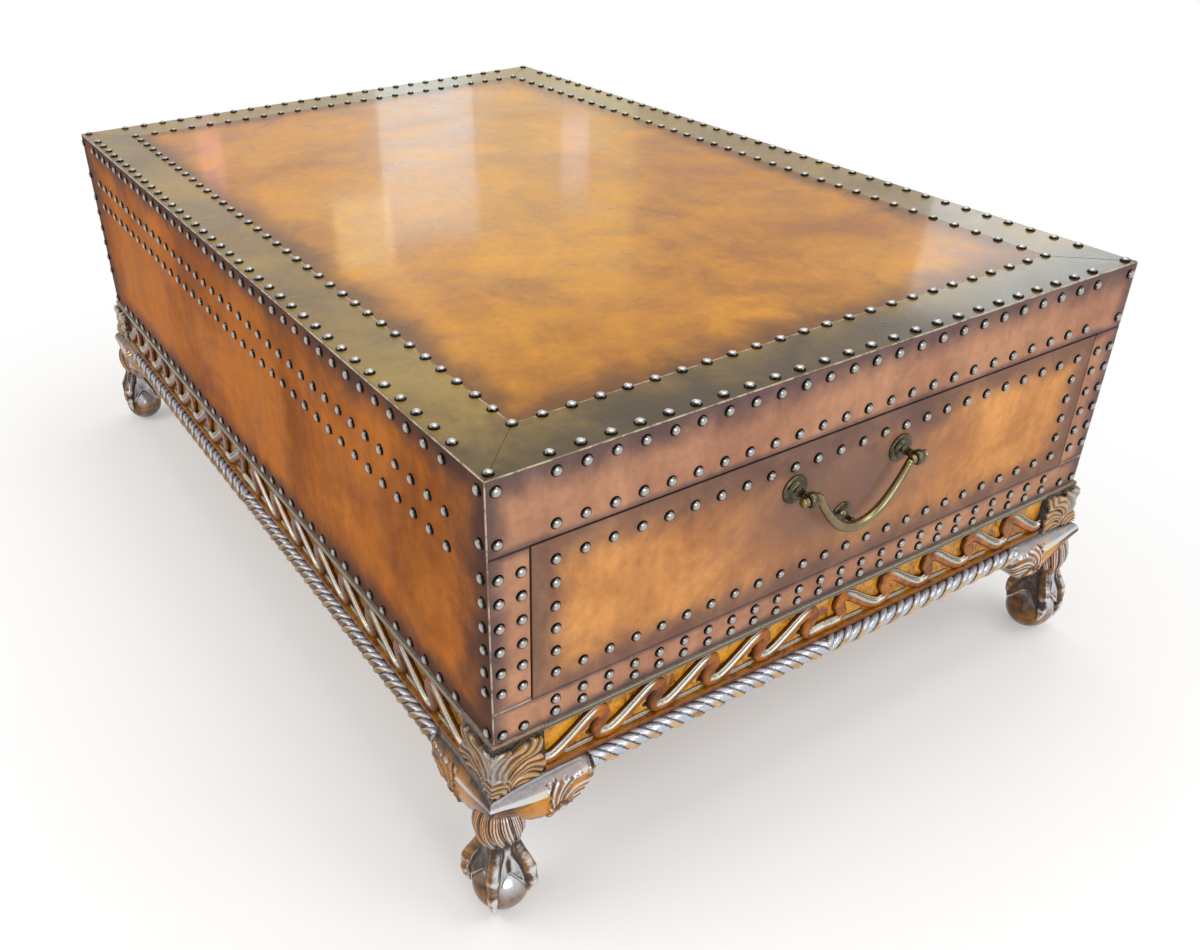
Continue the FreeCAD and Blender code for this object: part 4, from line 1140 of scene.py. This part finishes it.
def make_pull():
    """Posts with rosettes and eyes, the strike plate, and the bail that swings in the eyes."""
    hinge = frame["record"]["behaviour"]["joints"][1]["pos_m"]
    pin_x, pin_z = hinge[0], hinge[2]
    out = pin_x - FACE
    post_y = (post_high.y - post_low.y) / 2 - 15 * MM
    rosette = [
        (-1.0, 12.0), (0.0, 14.9), (0.8, 15.2), (1.9, 15.0), (2.7, 14.2), (3.2, 12.6), (3.5, 11.0), (3.4, 10.4),
        (4.0, 10.0), (5.2, 9.7), (6.2, 8.6), (6.8, 6.6), (7.1, 5.2), (8.0, 4.5), (11.0, 4.0), (14.5, 4.2), (17.5, 5.2),
    ]
    strips = []
    for side in (-1, 1):
        strips.append(lathe(scaled(rosette), 48, (FACE, side * post_y, pin_z), (1, 0, 0)))
        eye = [(-4.7, 3.2), (-4.7, 5.4), (-4.2, 6.8), (-3.0, 7.5), (3.0, 7.5), (4.2, 6.8), (4.7, 5.4), (4.7, 3.2)]
        strips.append(lathe(scaled(eye), 40, (pin_x, side * post_y, pin_z), (0, 1, 0)))
    points, faces = joined(strips)
    posts = new_piece("pull_posts", points, faces, materials["old_brass"], "drawer")
    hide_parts("handle_posts")

    strike_low, strike_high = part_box("strike_plate")
    strike_z = (strike_low.z + strike_high.z) / 2
    stud = (strike_high.x - FACE) / MM
    plate = [
        (-0.8, 11.0), (0.0, 13.2), (0.7, 13.5), (1.6, 13.2), (2.4, 11.9), (3.0, 9.8), (3.4, 7.6), (3.3, 6.6),
        (4.2, 5.6), (6.2, 3.4), (8.6, 2.6), (stud - 4.6, 2.5), (stud - 3.2, 3.2), (stud - 1.2, 3.1),
        (stud - 0.3, 2.2), (stud, 0.8),
    ]
    points, faces = lathe(scaled(plate), 44, (FACE, 0, strike_z), (1, 0, 0))
    strike = new_piece("pull_strike", points, faces, materials["old_brass"], "drawer")
    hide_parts("strike_plate")

    half, drop = 61.0 * MM, pin_z - strike_z
    line = []
    radii = []
    for step in range(49):
        share = 2 * step / 48 - 1
        line.append((pin_x, half * share, pin_z - drop * (1 - abs(share) ** 2.15)))
        radii.append((4.0 + 1.4 * math.cos(share * math.pi / 2) ** 1.2) * MM)
    strips = [tube(line, radii)]
    for side in (-1, 1):
        knuckle = [
            (-10.4, 3.0), (-10.2, 4.0), (-9.0, 4.8), (-8.0, 4.4), (-7.4, 4.9), (-6.2, 5.1), (-5.3, 4.8), (-5.1, 3.0),
            (5.1, 3.0), (5.3, 4.2), (6.3, 4.7), (7.2, 4.3), (7.6, 3.2), (8.2, 3.6), (9.4, 4.6), (11.0, 4.7),
            (12.4, 3.6), (13.2, 1.6),
        ]
        strips.append(lathe(scaled(knuckle), 32, (pin_x, side * post_y, pin_z), (0, side, 0)))
    points, faces = joined(strips)
    bail = new_piece("pull_bail", points, faces, materials["brass"], "bail")
    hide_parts("bail")


# Finishes
# How much darker faces toward the long sides are painted, as shade
PAINTED_SIDE_SHADE = 0.5


def carved_material(name, gold, brown, silver, roughness, wear, coat, sides=1.0, painted_side_shade=PAINTED_SIDE_SHADE):
    """Glazed carving: dark in the hollows, as dirt and painted shade, brown to gold between, and silver-grey and cream
    on the crests, partly wear and partly painted highlight and reflection.

    Faces toward the long sides are painted darker as shade. Sides is the share of the silver and cream kept on faces
    toward the long sides, which get less painted reflection than the ends.
    """
    make = Nodes(name)
    place = make.place()
    paint = make.add("ShaderNodeVertexColor", {}, layer_name="paint").outputs[0]
    parts = make.add("ShaderNodeSeparateColor", {0: paint}).outputs
    cloud = make.noise(place, 45.0, 4.0, 0.65, 0.5)
    speck = make.noise(place, 260.0, 4.0, 0.7)
    uneven = make.math("SUBTRACT", cloud, 0.5)
    warm = make.math("ADD", parts[1], make.math("MULTIPLY", uneven, 1.8))
    colour = make.mix(make.ease(warm, 0.10, 0.95), brown, gold)
    aside = make.aside()
    # Painted shade: faces toward the long sides are darkened.
    colour = make.mix(make.math("MULTIPLY", aside, painted_side_shade), colour, linear(46, 28, 14))
    # The silver paint, partly wear and partly painted reflection, is kept mostly on the ends.
    end_sheen = make.ease(aside, 0.0, 1.0, 1.0, sides)
    wear_and_painted_light = make.math("MULTIPLY", parts[0], end_sheen)
    rub_and_painted_sheen = make.math("ADD", wear_and_painted_light, make.math("MULTIPLY", make.math("SUBTRACT", speck, 0.5), wear))
    shine = make.ease(rub_and_painted_sheen, 0.20, 0.85)
    colour = make.mix(shine, colour, silver)
    # Cream where the silver paint runs highest: painted highlight, partly wear.
    colour = make.mix(make.ease(rub_and_painted_sheen, 1.1, 1.6), colour, linear(226, 212, 176))
    # Dark paint in the hollows: dirt and painted shade.
    dirt_and_painted_shade = make.math("ADD", parts[2], make.math("MULTIPLY", uneven, 0.5))
    colour = make.mix(make.ease(dirt_and_painted_shade, 0.25, 0.90, 0.0, 0.94), colour, linear(24, 14, 8))
    return make.surface(
        {
            "Base Color": colour,
            "Metallic": make.math("MULTIPLY", shine, 0.55),
            "Roughness": make.ease(speck, 0.3, 0.7, roughness * 0.8, roughness * 1.3),
            "Specular IOR Level": 0.2,
            "Coat Weight": coat,
            "Coat Roughness": 0.10,
            "Normal": make.bump(speck, 0.0002, wear),
        }
    )


def nail_material():
    """Gunmetal nailheads, painted near-black at the rim as shade and pale on the crown as a highlight, partly wear."""
    make = Nodes("nail_metal")
    place = make.place()
    wear = make.add("ShaderNodeVertexColor", {}, layer_name="paint").outputs[0]
    crown = make.add("ShaderNodeSeparateColor", {0: wear}).outputs[0]
    speck = make.noise(place, 420.0, 4.0, 0.7)
    # Painted light with wear: the crown's paint and a speckle decide between the dark rim and the pale crown.
    wear_and_painted_light = make.math("ADD", crown, make.math("MULTIPLY", make.math("SUBTRACT", speck, 0.5), 0.9))
    return make.surface(
        {
            "Base Color": make.mix(make.ease(wear_and_painted_light, 0.1, 0.9), linear(10, 10, 10), linear(178, 175, 170)),
            "Metallic": 0.9,
            "Roughness": make.ease(speck, 0.3, 0.7, 0.14, 0.26),
            "Normal": make.bump(speck, 0.0001, 0.4),
        }
    )


def metal_material(name, colour, dark, roughness, scale):
    make = Nodes(name)
    place = make.place()
    cloud = make.noise(place, scale, 4.0, 0.65)
    speck = make.noise(place, scale * 6, 3.0, 0.6)
    return make.surface(
        {
            "Base Color": make.mix(make.ease(cloud, 0.35, 0.7), dark, colour),
            "Metallic": 1.0,
            "Roughness": make.ease(speck, 0.3, 0.7, roughness * 0.75, roughness * 1.4),
            "Normal": make.bump(speck, 0.0001, 0.4),
        }
    )


def wood_material(name, light, dark):
    make = Nodes(name)
    place = make.place()
    grain = make.noise(make.stretch(place, (3.0, 60.0, 60.0)), 3.0, 5.0, 0.65, 1.2)
    pore = make.noise(make.stretch(place, (20.0, 500.0, 500.0)), 1.0, 3.0, 0.6)
    return make.surface(
        {
            "Base Color": make.mix(make.ease(grain, 0.3, 0.7), dark, light),
            "Roughness": make.ease(pore, 0.3, 0.7, 0.5, 0.75),
            "Normal": make.bump(pore, 0.0002, 0.5),
        }
    )


def make_materials():
    x, y, z = 0, 1, 2
    upright = (60.0, 60.0, 9.0)
    # Lines: axis, position, width of the burnished band, then 1 for a pale painted highlight line along the edge that
    # is partly wear, -1 for a dark joint line, 0 for none.
    ends = [(x, -HALF_LENGTH, 0.075, 1), (x, HALF_LENGTH, 0.075, 1)]
    edges = [(y, -HALF_WIDTH, 0.070, 1), (y, HALF_WIDTH, 0.070, 1)]
    rims = [(z, TOP, 0.047, 1), (z, CASE_LOW, 0.045, 1)]
    tan = dict(light=linear(184, 110, 46), dark=linear(130, 70, 26), burnt=linear(68, 48, 44), brush=upright)
    sheen = dict(roughness=0.46, coat=0.0, gloss=0.10)
    materials["side"] = leather("leather_side", ends + rims, **tan, roughness=0.52, coat=0.0, gloss=0.03)
    materials["end"] = leather("leather_end", edges + rims, **tan, **sheen)
    opening = [
        (z, drawer_high.z, 0.010, -1),
        (z, drawer_low.z, 0.008, 1),
        (z, TOP, 0.040, 1),
        (z, CASE_LOW, 0.012, 0),
        (y, -HALF_WIDTH, 0.026, 1),
        (y, HALF_WIDTH, 0.026, 1),
    ]
    rose = dict(light=linear(192, 142, 110), dark=linear(160, 112, 88), burnt=linear(84, 68, 70), brush=upright)
    materials["front"] = leather("leather_front", opening, depth=0.88, **rose, **sheen)
    panel = [
        (z, drawer_high.z, 0.056, -1),
        (z, drawer_low.z, 0.044, 0),
        (y, drawer_low.y, 0.060, -1),
        (y, drawer_high.y, 0.056, -1),
    ]
    honey = dict(light=linear(220, 156, 92), dark=linear(176, 114, 66), burnt=linear(90, 72, 70), brush=upright)
    grip = (0.0, (post_low.z + post_high.z) / 2 - 0.02, 0.25)
    materials["drawer"] = leather("leather_drawer", panel, depth=0.80, hand=grip, **honey, **sheen)
    seams = [
        (x, field_low.x, 0.050, 1),
        (x, field_high.x, 0.060, 1),
        (y, field_low.y, 0.045, 1),
        (y, field_high.y, 0.045, 1),
    ]
    amber = dict(light=linear(194, 130, 18), dark=linear(150, 90, 12), burnt=linear(84, 50, 16))
    across = (30.0, 17.0, 30.0)
    materials["field"] = leather(
        "leather_field", seams, brush=across, roughness=0.28, coat=0.22, gloss=0.08, depth=0.85, **amber
    )
    rim = [
        (x, -HALF_LENGTH, 0.004, 1),
        # Painted shade: this band spans the whole front border and darkens it.
        (x, HALF_LENGTH, 0.105, 1),
        (y, -HALF_WIDTH, 0.004, 1),
        (y, HALF_WIDTH, 0.004, 1),
    ]
    olive = dict(light=linear(144, 116, 46), dark=linear(102, 78, 28), burnt=linear(50, 36, 18))
    materials["border"] = leather(
        "leather_border", rim, brush=across, roughness=0.28, coat=0.26, gloss=0.16, depth=0.80, **olive
    )
    materials["nail"] = nail_material()
    materials["brass"] = metal_material("antique_brass", linear(150, 138, 104), linear(120, 108, 78), 0.24, 14.0)
    materials["old_brass"] = metal_material("darkened_brass", linear(104, 98, 76), linear(66, 62, 50), 0.30, 60.0)
    materials["steel"] = metal_material("zinc", linear(160, 160, 164), linear(120, 120, 124), 0.4, 40.0)
    materials["carved"] = carved_material(
        "carved_gilt", linear(186, 104, 10), linear(88, 42, 10), linear(172, 174, 166), 0.28, 0.5, 0.16
    )
    materials["rope"] = carved_material(
        "carved_rope", linear(208, 170, 116), linear(118, 76, 42), linear(188, 192, 202), 0.26, 0.5, 0.30, 0.30
    )
    materials["leaf"] = carved_material(
        "carved_leaf", linear(200, 144, 54), linear(112, 70, 28), linear(158, 158, 154), 0.28, 0.5, 0.40, 0.8
    )
    materials["bronze"] = carved_material(
        "carved_bronze", linear(200, 130, 20), linear(60, 36, 16), linear(208, 211, 216), 0.18, 0.25, 0.45, 0.45,
        painted_side_shade=0.15,
    )
    materials["board"] = wood_material("bare_board", linear(196, 160, 112), linear(164, 124, 80))
    materials["ground"] = carved_ground()


def carved_ground():
    """Gilt ground behind the scroll, grey-green on the fillet above with two dark lines painted on it as shade, brown
    below, bare wood inside, and painted shade on faces toward the long sides.
    """
    make = Nodes("carved_ground")
    place = make.place()
    axes = make.split(place)
    cloud = make.noise(place, 60.0, 5.0, 0.7, 0.8)
    speck = make.noise(place, 300.0, 4.0, 0.7)
    colour = make.mix(make.ease(cloud, 0.32, 0.62), linear(112, 56, 8), linear(218, 150, 26))
    # Painted shade on faces toward the long sides.
    colour = make.mix(make.math("MULTIPLY", make.aside(), PAINTED_SIDE_SHADE), colour, linear(46, 28, 14))
    low, high = FRIEZE_LOW * MM, FRIEZE_HIGH * MM
    below = make.ease(axes[2], low - 0.0010, low + 0.0010, 1.0, 0.0)
    above = make.ease(axes[2], high - 0.0006, high + 0.0006)
    colour = make.mix(below, colour, make.mix(cloud, linear(96, 52, 22), linear(150, 84, 34)))
    colour = make.mix(above, colour, make.mix(speck, linear(78, 68, 54), linear(166, 158, 138)))
    # Painted shade: dark lines along the fillet's foot and middle, where a moulding's grooves would be.
    for groove in (high, high + 0.0026):
        line = make.math("ABSOLUTE", make.math("SUBTRACT", axes[2], groove))
        colour = make.mix(make.ease(line, 0.0003, 0.0013, 0.85, 0.0), colour, linear(40, 26, 16))
    reach = make.math("SUBTRACT", make.math("ABSOLUTE", axes[0]), HALF_LENGTH - RAIL_SKIN)
    spread = make.math("SUBTRACT", make.math("ABSOLUTE", axes[1]), HALF_WIDTH - RAIL_SKIN)
    carved = make.ease(make.math("MAXIMUM", reach, spread), -0.0005, 0.0005)
    colour = make.mix(carved, make.mix(cloud, linear(164, 124, 80), linear(196, 160, 112)), colour)
    return make.surface(
        {
            "Base Color": colour,
            "Roughness": make.ease(speck, 0.3, 0.7, 0.25, 0.45),
            "Specular IOR Level": 0.25,
            "Coat Weight": make.math("MULTIPLY", carved, 0.2),
            "Coat Roughness": 0.18,
            "Normal": make.bump(speck, 0.0002, 0.5),
        }
    )


def dress_nodes():
    for side in ("left", "right"):
        finish_node(f"side_leather_{side}", materials["side"], 0.0007)
    finish_node("end_leather_rear", materials["end"], 0.0007)
    for part in ("top", "bottom", "left", "right"):
        finish_node(f"front_leather_{part}", materials["front"], 0.0006)
    finish_node("drawer_leather", materials["drawer"], 0.0007)
    finish_node("top_leather_field", materials["field"], 0.0006)
    for part in ("front", "rear", "left", "right"):
        finish_node(f"top_border_{part}", materials["border"], 0.0007)
        finish_node(f"apron_rail_{part}", materials["ground"], 0.0009)
    for corner in CORNERS:
        finish_node(f"corner_block_{corner}", materials["ground"], 0.0006)
    for name in nodes:
        if name in ("base_screws", "post_nuts"):
            finish_node(name, materials["steel"])
        elif nodes[name].data.materials[0] not in materials.values():
            finish_node(name, materials["board"], 0.0008)


# Floor, lamps and camera
def make_floor():
    """A pale floor that keeps the shadow near the table and turns plain white further off."""
    make = Nodes("floor")
    apart = make.add("ShaderNodeVectorMath", {0: make.place()}, operation="ABSOLUTE").outputs[0]
    beyond = make.add("ShaderNodeVectorMath", {0: apart, 1: (HALF_LENGTH, HALF_WIDTH, 0)}, operation="SUBTRACT")
    outside = make.add("ShaderNodeVectorMath", {0: beyond.outputs[0], 1: (0, 0, 0)}, operation="MAXIMUM")
    away = make.add("ShaderNodeVectorMath", {0: outside.outputs[0]}, operation="LENGTH").outputs["Value"]
    path = make.add("ShaderNodeLightPath", {}).outputs
    seen = make.math("MAXIMUM", path["Is Camera Ray"], path["Is Glossy Ray"])
    seen = make.math("MAXIMUM", seen, path["Is Transmission Ray"])
    matt = make.add("ShaderNodeBsdfDiffuse", {"Color": (0.96, 0.96, 0.96, 1.0)}).outputs[0]
    white = make.add(
        "ShaderNodeEmission", {"Color": (1.0, 1.0, 1.0, 1.0), "Strength": BACKDROP_STRENGTH}
    ).outputs[0]
    share = make.math("MULTIPLY", make.ease(away, 0.04, 0.60, 0.30, 1.0), seen)
    mixed = make.add("ShaderNodeMixShader", {0: share, 1: matt, 2: white}).outputs[0]
    make.add("ShaderNodeOutputMaterial", {"Surface": mixed})
    reach = 30.0
    mesh = bpy.data.meshes.new("floor")
    corners = [(-reach, -reach, 0), (reach, -reach, 0), (reach, reach, 0), (-reach, reach, 0)]
    mesh.from_pydata(corners, [], [(0, 1, 2, 3)])
    mesh.materials.append(make.material)
    floor = bpy.data.objects.new("floor", mesh)
    bpy.context.scene.collection.objects.link(floor)


def make_world():
    """Even room light, with a pale backdrop where it is seen, straight or in a reflection."""
    world = bpy.data.worlds.new("studio")
    bpy.context.scene.world = world
    world.use_nodes = True
    tree = world.node_tree
    tree.nodes.clear()
    output = tree.nodes.new("ShaderNodeOutputWorld")
    backdrop = tree.nodes.new("ShaderNodeBackground")
    backdrop.inputs[0].default_value = (1.0, 1.0, 1.0, 1.0)
    backdrop.inputs[1].default_value = BACKDROP_STRENGTH
    light = tree.nodes.new("ShaderNodeBackground")
    light.inputs[0].default_value = ROOM_COLOUR
    light.inputs[1].default_value = ROOM_STRENGTH
    choose = tree.nodes.new("ShaderNodeMixShader")
    path = tree.nodes.new("ShaderNodeLightPath")
    seen = path.outputs["Is Camera Ray"]
    for ray in ("Is Glossy Ray", "Is Transmission Ray"):
        either = tree.nodes.new("ShaderNodeMath")
        either.operation = "MAXIMUM"
        tree.links.new(seen, either.inputs[0])
        tree.links.new(path.outputs[ray], either.inputs[1])
        seen = either.outputs[0]
    tree.links.new(seen, choose.inputs[0])
    tree.links.new(light.outputs[0], choose.inputs[1])
    tree.links.new(backdrop.outputs[0], choose.inputs[2])
    tree.links.new(choose.outputs[0], output.inputs[0])


# Lamps: direction from the table's middle (degrees round and up), distance, width and height, power, colour
LAMPS = {
    "softbox_left": (-104, 34, 3.2, 2.0, 1.6, 37, (1.0, 0.98, 0.95)),
    "softbox_front": (30, 42, 3.4, 1.3, 1.3, 22, (0.98, 0.99, 1.0)),
    "window_front": (-8, 14, 3.4, 1.7, 1.4, 29, (0.98, 0.99, 1.0)),
    "overhead": (100, 78, 3.0, 2.4, 2.4, 40, (1.0, 1.0, 1.0)),
    "window_left": (154.3, 15.2, 4.2, 0.46, 0.72, 3.0, (0.66, 0.90, 1.0)),
    "warm_wall": (145.5, 17.5, 4.2, 0.77, 1.0, 2.6, (0.94, 0.86, 0.28)),
    "violet_wall": (144.2, 15.0, 4.2, 0.13, 0.37, 0.4, (0.62, 0.62, 1.0)),
    "warm_lamp": (159.2, 19.6, 4.2, 0.28, 0.34, 1.4, (1.0, 0.84, 0.40)),
    "red_lamp": (168.7, 14.0, 4.2, 0.11, 0.28, 0.28, (1.0, 0.36, 0.42)),
    "side_wall": (163.5, 23.0, 4.2, 1.1, 1.0, 1.0, (1.0, 0.85, 0.52)),
    "window_right": (114.4, 19.2, 4.2, 0.84, 0.58, 5.6, (0.88, 0.98, 1.0)),
}
ROOM_COLOUR = (1.0, 0.98, 0.95, 1.0)
ROOM_STRENGTH = 0.45
BACKDROP_STRENGTH = 1.0


def make_lamps():
    for name, (round_turn, up_turn, distance, width, height, power, tint) in LAMPS.items():
        lamp = bpy.data.lights.new(name, "AREA")
        lamp.shape = "RECTANGLE"
        lamp.size = width
        lamp.size_y = height
        lamp.energy = power
        lamp.color = tint
        a, e = math.radians(round_turn), math.radians(up_turn)
        aim = Vector((math.cos(a) * math.cos(e), math.sin(a) * math.cos(e), math.sin(e)))
        piece = bpy.data.objects.new(name, lamp)
        piece.location = Vector((0, 0, TOP)) + aim * distance
        piece.rotation_euler = aim.to_track_quat("Z", "Y").to_euler()
        piece.visible_camera = False
        bpy.context.scene.collection.objects.link(piece)


def make_camera():
    """The photograph's camera."""
    a, e, roll = CAMERA_AZIMUTH, CAMERA_ELEVATION, CAMERA_ROLL
    right = Vector((math.cos(a), math.sin(a), 0))
    back = Vector((math.sin(a) * math.cos(e), -math.cos(a) * math.cos(e), math.sin(e)))
    up = back.cross(right)
    rolled_right = right * math.cos(roll) + up * math.sin(roll)
    rolled_up = up * math.cos(roll) - right * math.sin(roll)
    view = Matrix((rolled_right, rolled_up, back)).transposed().to_4x4()
    view.translation = Vector(CAMERA_PLACE)
    data = bpy.data.cameras.new("camera")
    data.sensor_width = 36.0
    data.lens = CAMERA_LENS
    data.shift_x, data.shift_y = CAMERA_SHIFT
    camera = bpy.data.objects.new("camera", data)
    camera.matrix_world = view
    bpy.context.scene.collection.objects.link(camera)
    bpy.context.scene.camera = camera


materials = {}
bpy.context.scene.view_settings.view_transform = "Standard"
make_camera()
make_floor()
make_world()
make_lamps()
make_materials()
dress_nodes()
make_nails()
for side_name in BASE_SIDES:
    make_frieze(side_name)
    make_rope(side_name)
for corner_name in CORNERS:
    make_corner_block(corner_name)
make_legs()
make_pull()
